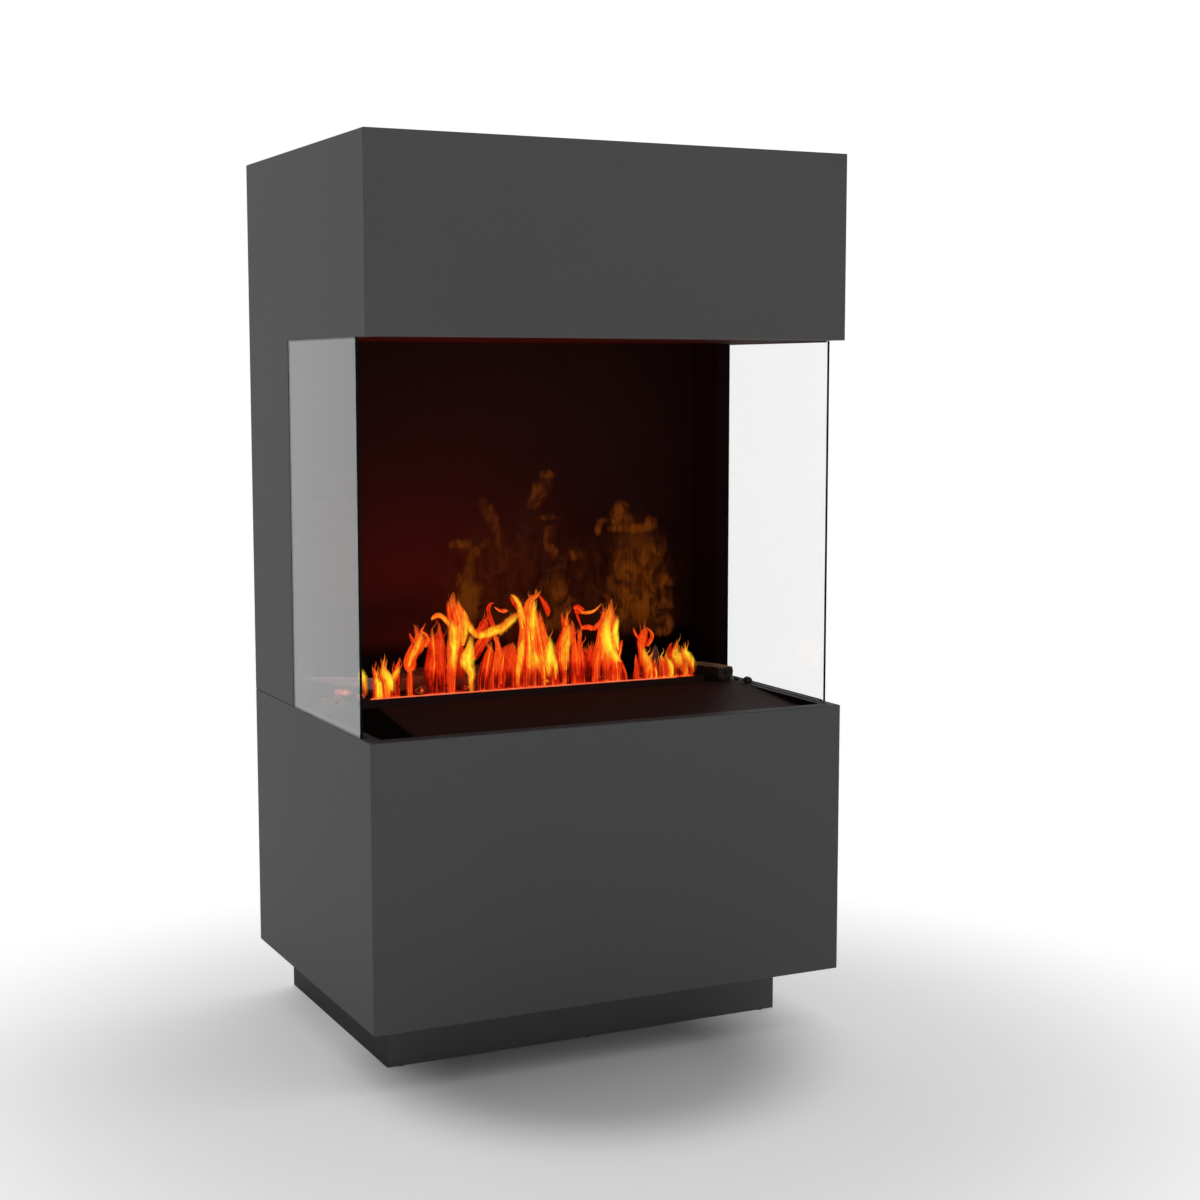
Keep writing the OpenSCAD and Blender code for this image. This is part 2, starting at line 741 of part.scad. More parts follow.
// Ultrasonic transducers in a row on the basin's floor, each with its disc
module transducers() {
    color("#b9b2a0") for (i = [0 : transducer_n - 1])
        translate([(i - (transducer_n - 1) / 2) * transducer_pitch, burner_y, basin_in_z]) {
            cylinder(r = transducer_r, h = transducer_h);
            translate([0, 0, transducer_h]) cylinder(r = transducer_r * 0.6, h = 1);
            for (a = [45 : 90 : 315]) rotate(a)
                translate([transducer_r, 0, 0]) cylinder(r = 4, h = 3);
        }
}

// Two bent sheets that lead the mist from the basin up to the slot
module mist_guides() {
    foot = basin_w / 2 - basin_t / 2;
    neck = neck_w / 2;
    color("#3a3c3e") for (s = [0, 1]) translate([0, burner_y, 0]) mirror([0, s, 0])
        along_x(-slot_l / 2, slot_l / 2)
            polygon([[-foot, guide_z], [-foot + guide_t * 1.3, guide_z], [-neck, neck_z],
                [-neck, burner_top], [-neck - guide_t, burner_top], [-neck - guide_t, neck_z]]);
}

// Cover of the housing with the raised burner box and its long slot
module burner_cover() {
    y0 = burner_y - burner_w / 2;
    y1 = burner_y + burner_w / 2;
    color("#121212") difference() {
        union() {
            block([-housing_x, burner_y - housing_w / 2, cover_z],
                [housing_x, burner_y + housing_w / 2, cover_z + cover_t]);
            block([-burner_l / 2, y0, cover_z], [burner_l / 2, y1, burner_top]);
        }
        block([-burner_l / 2 + box_t, y0 + box_t, cover_z - 1],
            [burner_l / 2 - box_t, y1 - box_t, burner_top - box_t]);
        block([-slot_l / 2 - slip, burner_y - slot_w / 2, burner_top - box_t - 1],
            [slot_l / 2 + slip, burner_y + slot_w / 2, burner_top + 1]);
    }
}

// Aluminium lamp bars between the burner box and the mist neck
module led_bars() {
    color("#b4b6b8") for (s = [0, 1]) translate([0, burner_y, 0]) mirror([0, s, 0])
        block([-slot_l / 2, -burner_w / 2 + box_t, led_z],
            [slot_l / 2, -neck_w / 2 - guide_t, led_z + led_h]);
}

// Clear lens strips on the lamp bars, under the slot
module led_lenses() {
    color("#ff6a1c") for (s = [0, 1]) translate([0, burner_y, 0]) mirror([0, s, 0])
        block([-slot_l / 2, -slot_w / 2, led_z + led_h],
            [slot_l / 2, -neck_w / 2 - guide_t, led_z + led_h + lens_h]);
}

// Frame of one fan, its inner face at x = 0, with four struts and a bearing hub
module fan_frame() {
    hub_t = 4;
    difference() {
        union() {
            difference() {
                block([0, -fan_s / 2, -fan_s / 2], [fan_t, fan_s / 2, fan_s / 2]);
                rod_x(-1, fan_t + 1, fan_bore_r);
                for (y = [-1, 1], z = [-1, 1])
                    translate([0, y * fan_hole_pitch / 2, z * fan_hole_pitch / 2])
                        rod_x(-1, fan_t + 1, fan_hole_r);
            }
            rod_x(fan_t - hub_t, fan_t, hub_r + 1);
            for (a = [45 : 90 : 315]) rotate([a, 0, 0])
                block([fan_t - hub_t, -2, hub_r - 1], [fan_t - 1, 2, fan_bore_r + 1]);
        }
        rod_x(fan_t - hub_t - 1, fan_t + 1, shaft_r + running);
    }
}

// Rotor of one fan: hub, pitched blades and the shaft in the bearing hub
module fan_rotor() {
    x0 = 3;
    x1 = fan_t - 5;
    rod_x(x0, x1, hub_r);
    rod_x(x1 - 0.1, fan_t - 0.5, shaft_r);
    intersection() {
        difference() {
            rod_x(x0 + 1, x1 - 1, rotor_r);
            rod_x(x0, x1, hub_r - 0.5);
        }
        for (i = [0 : blade_n - 1]) rotate([i * 360 / blade_n, 0, 0])
            translate([(x0 + x1) / 2, 0, rotor_r / 2 + hub_r / 2]) rotate([0, 0, blade_pitch])
                cube([fan_t, blade_t, rotor_r], center = true);
    }
}

// Places a fan's piece against the housing's right end, or its left end
module at_fan(left) {
    mirror([left ? 1 : 0, 0, 0]) translate([housing_x, burner_y, fan_z]) children();
}

module fan_frames() { color("#1f1f1f") { at_fan(true) fan_frame(); at_fan(false) fan_frame(); } }

module fan_left_rotor() { color("#101010") at_fan(true) fan_rotor(); }

module fan_right_rotor() { color("#101010") at_fan(false) fan_rotor(); }

// Places a piece of the level sensor on its spot in the basin
module at_float() { translate([basin_l / 2 - basin_t - float_edge, burner_y, basin_in_z]) children(); }

// Stem of the level sensor, with the collar below and the stop above the float
module float_stem() {
    collar_h = 5;
    stop_z = collar_h + slip + float_h + float_travel + slip;
    color("#d8d8d8") at_float() {
        cylinder(r = stem_r, h = max(stem_l, stop_z + 4));
        cylinder(r = stem_r + 3, h = collar_h);
        translate([0, 0, stop_z]) cylinder(r = stem_r + 2, h = 2);
    }
}

module float_ring() {
    collar_h = 5;
    color("#e8e4da") at_float() translate([0, 0, collar_h + slip])
        difference() {
            cylinder(r = float_r, h = float_h);
            translate([0, 0, -1]) cylinder(r = stem_r + slip, h = float_h + 2);
        }
}

// Dosing pump between the tank and the basin: head, motor and foot plate
module feed_pump() {
    y1 = pump_y0 + pump_s;
    color("#3f4245") difference() {
        union() {
            block([pump_x0, pump_y0, shelf_top + pump_foot_t],
                [pump_x0 + pump_s, y1, shelf_top + pump_s]);
            block([pump_x0 - 6, pump_y0 - 6, shelf_top],
                [pump_x0 + pump_s + pump_motor_l, y1 + 6, shelf_top + pump_foot_t]);
            translate([0, pump_y0 + pump_s / 2, shelf_top + pump_foot_t + pump_motor_r - pump_saddle])
                rod_x(pump_x0 + pump_s - 1, pump_x0 + pump_s + pump_motor_l, pump_motor_r);
        }
        translate([0, pump_y0 + pump_s / 2, shelf_top + suction_h])
            rod_x(pump_x0 - 1, pump_x0 + pipe_in + slip, pipe_r + snug);
        translate([pump_x0 + pump_s / 2, 0, shelf_top + feed_h])
            rod_y(y1 - pipe_in - slip, y1 + 1, pipe_r + snug);
    }
}

// Suction pipe from the tank to the pump, and feed pipe from the pump into the basin
module water_pipes() {
    color("#dfe3e6") {
        translate([0, pump_y0 + pump_s / 2, shelf_top + suction_h]) difference() {
            rod_x(tank_x0 + tank_l - tank_t, pump_x0 + pipe_in, pipe_r);
            rod_x(tank_x0 + tank_l - tank_t - 1, pump_x0 + pipe_in + 1, pipe_r - pipe_t);
        }
        translate([pump_x0 + pump_s / 2, 0, shelf_top + feed_h]) difference() {
            rod_y(pump_y0 + pump_s - pipe_in, burner_y - basin_w / 2 + basin_t + pipe_in, pipe_r);
            rod_y(pump_y0, burner_y, pipe_r - pipe_t);
        }
    }
}

// Hollow water tank with a filler neck, two handle eyes and an outlet hole
module water_tank() {
    lo = [tank_x0, tank_y0, shelf_top];
    hi = [tank_x0 + tank_l, tank_y0 + tank_w, tank_top];
    wall = [tank_t, tank_t, tank_t];
    color("#cfd6da") difference() {
        union() {
            block(lo, hi);
            translate([filler_px, filler_py, tank_top - 1]) cylinder(r = filler_r, h = filler_h + 1);
            for (s = [-1, 1])
                translate([handle_px + s * (handle_l / 2 + eye_t / 2 + 1), handle_py, 0]) {
                    block([-eye_t / 2, -grip_r, tank_top - 1], [eye_t / 2, grip_r, handle_pz]);
                    translate([0, 0, handle_pz]) rod_x(-eye_t / 2, eye_t / 2, grip_r);
                }
        }
        block(lo + wall, hi - wall);
        translate([filler_px, filler_py, tank_top - tank_t - 1])
            cylinder(r = filler_r - tank_t, h = filler_h + tank_t + 2);
        translate([handle_px - handle_l, handle_py, handle_pz]) rod_x(0, 2 * handle_l, handle_r + running);
        translate([0, pump_y0 + pump_s / 2, shelf_top + suction_h])
            rod_x(tank_x0 + tank_l - tank_t - 1, tank_x0 + tank_l + 1, pipe_r + snug);
    }
}

// Round cap over the filler neck, with grips round its skirt
module tank_cap() {
    in_r = filler_r + slip + 0.2;
    out_r = in_r + cap_t;
    color("#1d4f7a") translate([filler_px, filler_py, tank_top + slip]) {
        difference() {
            cylinder(r = out_r, h = filler_h + cap_t);
            translate([0, 0, -1]) cylinder(r = in_r, h = filler_h + 1);
        }
        for (i = [0 : cap_grips - 1]) rotate(i * 360 / cap_grips)
            translate([out_r, 0, 0]) cylinder(r = 1.5, h = filler_h, $fn = 16);
    }
}

// Folding handle: two arms with pins in the tank's eyes, and a sleeved grip
module tank_handle() {
    half = handle_l / 2 - handle_r;
    color("#2a2a2a") translate([handle_px, handle_py, handle_pz]) {
        for (s = [0, 1]) mirror([s, 0, 0]) {
            rod_x(half, handle_l / 2 + eye_t + 1, handle_r);
            translate([half, 0, 0]) rod_y(-handle_reach, 0, handle_r);
            translate([half, 0, 0]) sphere(r = handle_r);
            translate([half, -handle_reach, 0]) sphere(r = handle_r);
        }
        translate([0, -handle_reach, 0]) {
            rod_x(-half, half, handle_r);
            rod_x(-half + 8, half - 8, grip_r);
        }
    }
}

// Open box of the controls
module control_box() {
    lo = [control_x, control_y0, shelf_top];
    hi = [control_x + control_w, control_y0 + control_d, control_z1];
    wall = [control_t, control_t, control_t];
    color("#202224") difference() {
        block(lo, hi);
        block(lo + wall, hi - [control_t, control_t, -1]);
    }
}

// Place of button number i on the control lid
function button_x(i) = control_x + control_w / 2 + (i - 1) * button_pitch;

// Lid of the control box, with a hole for each button
module control_lid() {
    color("#2c2f31") difference() {
        block([control_x, control_y0, control_z1],
            [control_x + control_w, control_y0 + control_d, control_z1 + control_t]);
        for (i = [0 : 2]) translate([button_x(i), button_y, control_z1 - 1])
            cylinder(r = button_r + slip, h = control_t + 2);
    }
}

// A button: a cap above the lid and a collar under it
module button(i) {
    collar_h = 2;
    translate([button_x(i), button_y, 0]) {
        translate([0, 0, control_z1 - slip - 0.1])
            cylinder(r = button_r, h = control_t + slip + 0.1 + button_h);
        translate([0, 0, control_z1 - slip - collar_h]) cylinder(r = button_r + 1.5, h = collar_h);
    }
}

module button_power() { color("#c23b2e") button(0); }

module button_flame_down() { color("#d9d9d9") button(1); }

module button_flame_up() { color("#d9d9d9") button(2); }

// Power supply on the lower box's bottom: a vented case and its terminal block
module power_supply() {
    x0 = inner_x - supply_room - supply_w;
    y0 = back_y0 - supply_room - supply_d;
    color("#a5a7a9") {
        difference() {
            block([x0, y0, supply_z], [x0 + supply_w, y0 + supply_d, supply_z + supply_h]);
            for (i = [0 : 9])
                block([x0 + 20 + i * 12, y0 + 20, supply_z + supply_h - 1.5],
                    [x0 + 26 + i * 12, y0 + supply_d - 20, supply_z + supply_h + 1]);
        }
        block([x0 - 12, y0 + 15, supply_z], [x0, y0 + supply_d - 15, supply_z + 18]);
    }
}

// Mains inlet in the rear board: flange, body, recess with three pins, and the switch's well
module mains_inlet() {
    half = inlet_w / 2;
    wall_y0 = back_y1 - inlet_d;
    well_z = rocker_z - inlet_z;
    color("#151515") translate([inlet_x, 0, inlet_z]) {
        difference() {
            union() {
                block([-half, back_y1, -inlet_h / 2], [half, back_y1 + inlet_t, inlet_h / 2]);
                block([-half + 2 + slip, wall_y0, -inlet_h / 2 + 2 + slip],
                    [half - 2 - slip, back_y1 + 0.1, inlet_h / 2 - 2 - slip]);
            }
            block([-half + 4, wall_y0 + 3, -27], [half - 4, back_y1 + inlet_t + 1, -9]);
            block([-10.5, wall_y0 + 3, well_z - 12.2], [10.5, back_y1 + inlet_t + 1, well_z + 12.2]);
            translate([0, rocker_y, well_z]) rod_x(-12.2, 12.2, 1.5 + running);
        }
        for (x = [-7, 0, 7])
            block([x - 1, wall_y0 + 2.9, x == 0 ? -18 : -22], [x + 1, back_y1 - 2, x == 0 ? -14 : -18]);
    }
}

// Rocker of the mains switch, tipped to its off side
module mains_rocker() {
    color("#0c0c0c") translate([inlet_x, rocker_y, rocker_z]) rotate([-rocker_tilt, 0, 0]) {
        along_x(-10, 10) polygon([[-5, -6], [3.5, -11.2], [6, 0], [3.5, 11.2], [-5, 6]]);
        rod_x(-11.9, 11.9, 1.5);
    }
}

// Sheet sleeve round the air filter, flanged against the rear board
module filter_sleeve() {
    x0 = -filter_x - filter_w / 2;
    x1 = -filter_x + filter_w / 2;
    flange = 6;
    color("#2b2d2f") difference() {
        union() {
            block([x0 - filter_t, filter_y0, filter_z - filter_t],
                [x1 + filter_t, back_y1 + 1, filter_z + filter_h + filter_t]);
            block([x0 - flange, back_y1, filter_z - flange],
                [x1 + flange, back_y1 + 1.5, filter_z + filter_h + flange]);
        }
        block([x0, filter_y0 + filter_t, filter_z], [x1, back_y1 + 3, filter_z + filter_h]);
        block([x0 + 6, filter_y0 - 1, filter_z + 6], [x1 - 6, back_y1, filter_z + filter_h - 6]);
    }
}

// Filter tray: a frame with bars across its rear face and two finger grips
module filter_tray() {
    x0 = -filter_x - filter_w / 2 + slip;
    x1 = -filter_x + filter_w / 2 - slip;
    z0 = filter_z + slip;
    z1 = filter_z + filter_h - slip;
    y0 = filter_y0 + filter_t + slip;
    bar = 4;
    bars = 7;
    color("#1b1d1f") {
        difference() {
            block([x0, y0, z0], [x1, back_y1, z1]);
            block([x0 + bar, y0 - 1, z0 + bar], [x1 - bar, back_y1 + 1, z1 - bar]);
        }
        for (i = [1 : bars])
            block([x0 + (x1 - x0) * i / (bars + 1) - bar / 2, back_y1 - bar, z0 + bar - 0.1],
                [x0 + (x1 - x0) * i / (bars + 1) + bar / 2, back_y1, z1 - bar + 0.1]);
        for (x = [x0 + (x1 - x0) / (bars + 1) * 2, x0 + (x1 - x0) / (bars + 1) * 6])
            block([x - 9, back_y1 - 0.1, (z0 + z1) / 2 - 10],
                [x + 9, back_y1 + back_inset - 1.5, (z0 + z1) / 2 + 10]);
    }
}

// Foam pad in the filter tray
module filter_pad() {
    bar = 4;
    color("#4a4d50")
        block([-filter_x - filter_w / 2 + 2 * slip + bar, filter_y0 + filter_t + slip,
                filter_z + 2 * slip + bar],
            [-filter_x + filter_w / 2 - 2 * slip - bar, back_y1 - bar, filter_z + filter_h - 2 * slip - bar]);
}

// Side board of the column and the hood in one piece
module upper_left() {
    color("#434343") difference() {
        intersection() {
            side_board(rim_z, top_z);
            along_x(-hx - 1, -inner_x + 1)
                polygon([[-hy, soffit_z], [column_y, soffit_z], [column_y, rim_z],
                    [hy, rim_z], [hy, top_z], [-hy, top_z]]);
        }
        dowel_holes();
    }
}

module upper_right() { mirror([1, 0, 0]) upper_left(); }

module hood_front() { color("#434343") front_board(soffit_z, top_z); }

module hood_top() {
    color("#434343") block([-inner_x, front_y, top_z - board_t], [inner_x, hy, top_z]);
}

// Underside of the hood, above the firebox
module soffit() {
    color("#2a1512") block([-inner_x, front_y, soffit_z], [inner_x, back_y0, soffit_z + board_t]);
}

// Rear board of the column and the hood: vents, screw holes and reliefs at the wall plates
module column_back() {
    color("#333333") difference() {
        block([-inner_x, back_y0, rim_z], [inner_x, back_y1, top_z - board_t]);
        vent_row(soffit_z + board_t + vent_h / 2 + hood_vent_up);
        back_screw_row(rim_z, top_z - board_t, back_y0 - slip, screw_r + snug);
        for (s = [-1, 1]) translate([s * wall_pitch / 2, 0, wall_hole_z])
            rod_y(back_y0 - 1, back_y1 + 1, wall_hole_r * 2);
    }
}

// Black back wall of the firebox, standing on the floor
module firebox_back() {
    lined_x = inner_x - sheet_t - slip;
    color("#1d0d0a") block([-lined_x, wall_y, floor_top], [lined_x, wall_y + wall_t, soffit_z - slip]);
}

// Steel angles that line the column's reveals and cover its front edges
module niche_linings() {
    color("#1a1413") for (s = [0, 1]) mirror([s, 0, 0])
        upright(rim_z, soffit_z - slip)
            polygon([[-hx + glass_inset, column_y - sheet_t], [-inner_x + sheet_t, column_y - sheet_t],
                [-inner_x + sheet_t, wall_y + wall_t], [-inner_x, wall_y + wall_t],
                [-inner_x, column_y], [-hx + glass_inset, column_y]]);
}

module glass_left() {
    color([0.82, 0.88, 0.86, 0.35])
        block([-glass_x - glass_t, -hy + glass_front, rim_z],
            [-glass_x, column_y - sheet_t - slip, soffit_z - slip]);
}

module glass_right() { mirror([1, 0, 0]) glass_left(); }

// Slim angles that hold the glasses from inside, at the rim and at the hood
module glass_retainers() {
    x0 = -glass_x;
    x1 = -glass_x + retainer_s;
    color("#141414") for (s = [0, 1]) mirror([s, 0, 0])
        along_y(-hy + glass_front + 2, column_y - sheet_t - slip) {
            polygon([[x0, rim_z], [x1, rim_z], [x1, rim_z + retainer_t],
                [x0 + retainer_t, rim_z + retainer_t], [x0 + retainer_t, rim_z + retainer_lip],
                [x0, rim_z + retainer_lip]]);
            polygon([[x0, soffit_z], [x1, soffit_z], [x1, soffit_z - retainer_t],
                [x0 + retainer_t, soffit_z - retainer_t], [x0 + retainer_t, soffit_z - retainer_lip],
                [x0, soffit_z - retainer_lip]]);
        }
}

// Point number j of ring number i on a log along X: a wavy round cut flat below and above
function log_point(i, j, l, r, under, over, seed) =
    let (u = i / (log_rings - 1), a = 360 * j / log_n,
        bark = 1 + 0.05 * sin(3 * a + 70 * i + seed) + 0.04 * sin(5 * a - 110 * i + 2 * seed),
        q = r * bark * (1 - 0.06 * pow(2 * u - 1, 2)))
    [l * (u - 0.5) + 3 * sin(2 * a + seed) * (2 * u - 1), q * cos(a), min(over, max(-under, q * sin(a)))];

// A log along X with its flat underside at z = 0
module log_piece(l, r, under, over, seed) {
    points = [for (i = [0 : log_rings - 1], j = [0 : log_n - 1]) log_point(i, j, l, r, under, over, seed)];
    sides = [for (i = [0 : log_rings - 2], j = [0 : log_n - 1]) each
        let (k = (j + 1) % log_n, a = i * log_n, b = a + log_n)
        [[a + j, b + j, b + k], [a + j, b + k, a + k]]];
    near = [for (j = [1 : log_n - 2]) [0, j, j + 1]];
    far = [for (j = [1 : log_n - 2], a = (log_rings - 1) * log_n) [a, a + j + 1, a + j]];
    translate([0, 0, under]) polyhedron(points, concat(sides, near, far));
}

// Round log behind the left end of the burner
module log_left() {
    color("#4a3527") translate([-inner_x + left_log_side, wall_y - left_log_wall, floor_top]) rotate(-34)
        log_piece(left_log_l, left_log_r, left_log_r * 0.75, left_log_r * 0.85, 20);
}

// Split log at the right end of the burner, its flat face up
module log_right() {
    color("#5a3d2a") translate([inner_x - right_log_side, wall_y - right_log_wall, floor_top]) rotate(105)
        log_piece(right_log_l, right_log_r, right_log_r * 0.8, right_log_r * 0.38, 130);
}

// Charred log behind the burner, and a split log end that stands on its corner
module logs_back() {
    color("#2b211c") {
        translate([-back_log_x, wall_y - back_log_wall, floor_top]) rotate(-3)
            log_piece(back_log_l, back_log_r, back_log_r * 0.8, back_log_r, 250);
        translate([slot_l / 2 - split_log_in, wall_y - split_log_wall, floor_top]) polyhedron(
            [for (p = [[-1, -0.62, 0], [0.92, -0.77, 0], [1.15, 0.54, 0], [-0.77, 0.77, 0],
                    [0.15, -0.15, 1], [0.46, 0.15, 0.9]])
                [p[0] * split_log_r, p[1] * split_log_r, p[2] * split_log_h]],
            [[0, 1, 2, 3], [0, 4, 1], [1, 4, 5], [1, 5, 2], [2, 5, 3], [3, 5, 4], [3, 4, 0]]);
    }
}

// A lump of charcoal: a many-sided pebble of radius r, cut flat below
module lump(r, seed) {
    g = (1 + sqrt(5)) / 2;
    corners = [[0, 1, g], [0, -1, g], [0, 1, -g], [0, -1, -g], [1, g, 0], [-1, g, 0], [1, -g, 0],
        [-1, -g, 0], [g, 0, 1], [-g, 0, 1], [g, 0, -1], [-g, 0, -1]];
    faces = [[0, 8, 1], [0, 4, 8], [0, 5, 4], [0, 9, 5], [0, 1, 9], [1, 8, 6], [8, 10, 6], [8, 4, 10],
        [4, 2, 10], [4, 5, 2], [5, 11, 2], [5, 9, 11], [9, 7, 11], [9, 1, 7], [1, 6, 7], [3, 10, 2],
        [3, 6, 10], [3, 7, 6], [3, 11, 7], [3, 2, 11]];
    under = r * 0.6;
    translate([0, 0, under]) polyhedron([for (i = [0 : 11])
        let (q = r / 1.9 * (1 + 0.22 * sin(137 * i + seed)), p = corners[i] * q)
        [p[0] * 1.25, p[1], max(-under, p[2] * 0.8)]], faces);
}

// Charcoal lumps on the right rim, at the left end of the burner and behind it
module charcoal() {
    row_n = 11;
    row_x0 = -slot_l / 2 + 7.2 * lump_r;
    row_pitch = (slot_l - 12.6 * lump_r) / (row_n - 1);
    row_y = burner_y + burner_w / 2 + burner_gap + 1.3 * lump_r;
    color("#171311") {
        translate([inner_x + 0.85 * rim_lump_r, floor_front - 0.5 * rim_lump_r, rim_z]) rotate(90)
            lump(rim_lump_r, 10);
        translate([-inner_x + 1.4 * lump_r, floor_front + 1.2 * lump_r, floor_top]) rotate(10)
            lump(0.9 * lump_r, 150);
        translate([-inner_x + left_log_side, wall_y - left_log_wall, floor_top]) {
            translate([-2.6 * lump_r, -3.8 * lump_r, 0]) rotate(50) lump(lump_r, 200);
            translate([-4.7 * lump_r, -5.4 * lump_r, 0]) rotate(80) lump(1.1 * lump_r, 260);
        }
        for (i = [0 : row_n - 1])
            translate([row_x0 + row_pitch * i + 6 * sin(100 * i), row_y + 2 * sin(70 * i), floor_top])
                rotate(53 * i) lump(lump_r * (0.9 + 0.15 * sin(140 * i)), 47 * i);
    }
}

plinth_boards();
plinth_glides();
base_bottom();
base_left();
base_right();
base_front();
base_back();
insert_shelf();
battens();
back_screws();
column_dowels();
wall_plates();
deck_ledges();
firebox_floor();
deck_lid();
lid_hinges();
insert_housing();
sump_basin();
transducers();
mist_guides();
burner_cover();
led_bars();
led_lenses();
fan_frames();
fan_left_rotor();
fan_right_rotor();
float_stem();
float_ring();
feed_pump();
water_pipes();
water_tank();
tank_cap();
tank_handle();
control_box();
control_lid();
button_power();
button_flame_up();
button_flame_down();
power_supply();
mains_inlet();
mains_rocker();
filter_sleeve();
filter_tray();
filter_pad();
upper_left();
upper_right();
hood_front();
hood_top();
soffit();
column_back();
firebox_back();
niche_linings();
glass_left();
glass_right();
glass_retainers();
log_left();
log_right();
logs_back();
charcoal();
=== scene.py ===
"""Looks of a free-standing water vapour fireplace, built round its packed construction frame."""

import math
import random

import bmesh
import bpy
from mathutils import Matrix, Vector, noise


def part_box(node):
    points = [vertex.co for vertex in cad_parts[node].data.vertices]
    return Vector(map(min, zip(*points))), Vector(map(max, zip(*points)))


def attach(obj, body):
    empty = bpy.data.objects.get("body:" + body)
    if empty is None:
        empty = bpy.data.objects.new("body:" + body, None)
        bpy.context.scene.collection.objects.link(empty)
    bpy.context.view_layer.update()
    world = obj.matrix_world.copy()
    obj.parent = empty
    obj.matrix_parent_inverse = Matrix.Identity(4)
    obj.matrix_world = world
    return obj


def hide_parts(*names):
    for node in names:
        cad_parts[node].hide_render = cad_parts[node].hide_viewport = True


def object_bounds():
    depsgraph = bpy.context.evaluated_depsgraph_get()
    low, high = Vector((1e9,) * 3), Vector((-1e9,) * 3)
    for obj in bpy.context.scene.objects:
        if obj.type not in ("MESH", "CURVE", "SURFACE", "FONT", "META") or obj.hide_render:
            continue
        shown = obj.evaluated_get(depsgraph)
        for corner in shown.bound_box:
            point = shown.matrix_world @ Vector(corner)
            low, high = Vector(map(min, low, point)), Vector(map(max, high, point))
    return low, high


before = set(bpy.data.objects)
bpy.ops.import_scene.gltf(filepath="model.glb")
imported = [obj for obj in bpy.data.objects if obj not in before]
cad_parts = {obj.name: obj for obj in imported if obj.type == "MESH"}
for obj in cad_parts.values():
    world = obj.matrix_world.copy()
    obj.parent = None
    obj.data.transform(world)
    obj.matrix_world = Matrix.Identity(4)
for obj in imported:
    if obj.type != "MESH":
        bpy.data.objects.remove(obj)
cad_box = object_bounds()
MM = 0.001


# Studio: the cabinet stands on a plain pale floor in a white surround, seen from the left front at
# about the height of a seated viewer's eyes. A dark canopy over the front takes light from above, so
# the cabinet stands in its own soft shade. The floor also glows with painted light that grows away
# from a painted shade round the cabinet's foot.
eye = Vector((-1.35659, -3.01925, 1.05423))
heading = math.radians(25.897)
looking_down = math.radians(6.335)
lens_mm = 60.581

camera_data = bpy.data.cameras.new("camera")
camera_data.lens = lens_mm
camera_data.sensor_width = 36.0
camera_data.clip_end = 100.0
camera = bpy.data.objects.new("camera", camera_data)
camera.location = eye
camera.rotation_euler = (math.pi / 2 - looking_down, 0.0, -heading)
bpy.context.scene.collection.objects.link(camera)
bpy.context.scene.camera = camera
bpy.context.scene.view_settings.view_transform = "Standard"
bpy.context.scene.cycles.transparent_max_bounces = 48
bpy.context.scene.cycles.transmission_bounces = 12


class Wire:
    """One output in a material's node tree, so that shader maths reads as plain expressions."""

    def __init__(self, finish, socket):
        self.finish = finish
        self.socket = socket

    def maths(self, operation, first, second):
        return self.finish.node("ShaderNodeMath", {0: first, 1: second}, operation=operation)

    def __add__(self, other):
        return self.maths("ADD", self, other)

    def __radd__(self, other):
        return self.maths("ADD", other, self)

    def __sub__(self, other):
        return self.maths("SUBTRACT", self, other)

    def __rsub__(self, other):
        return self.maths("SUBTRACT", other, self)

    def __mul__(self, other):
        return self.maths("MULTIPLY", self, other)

    def __rmul__(self, other):
        return self.maths("MULTIPLY", other, self)

    def __truediv__(self, other):
        return self.maths("DIVIDE", self, other)


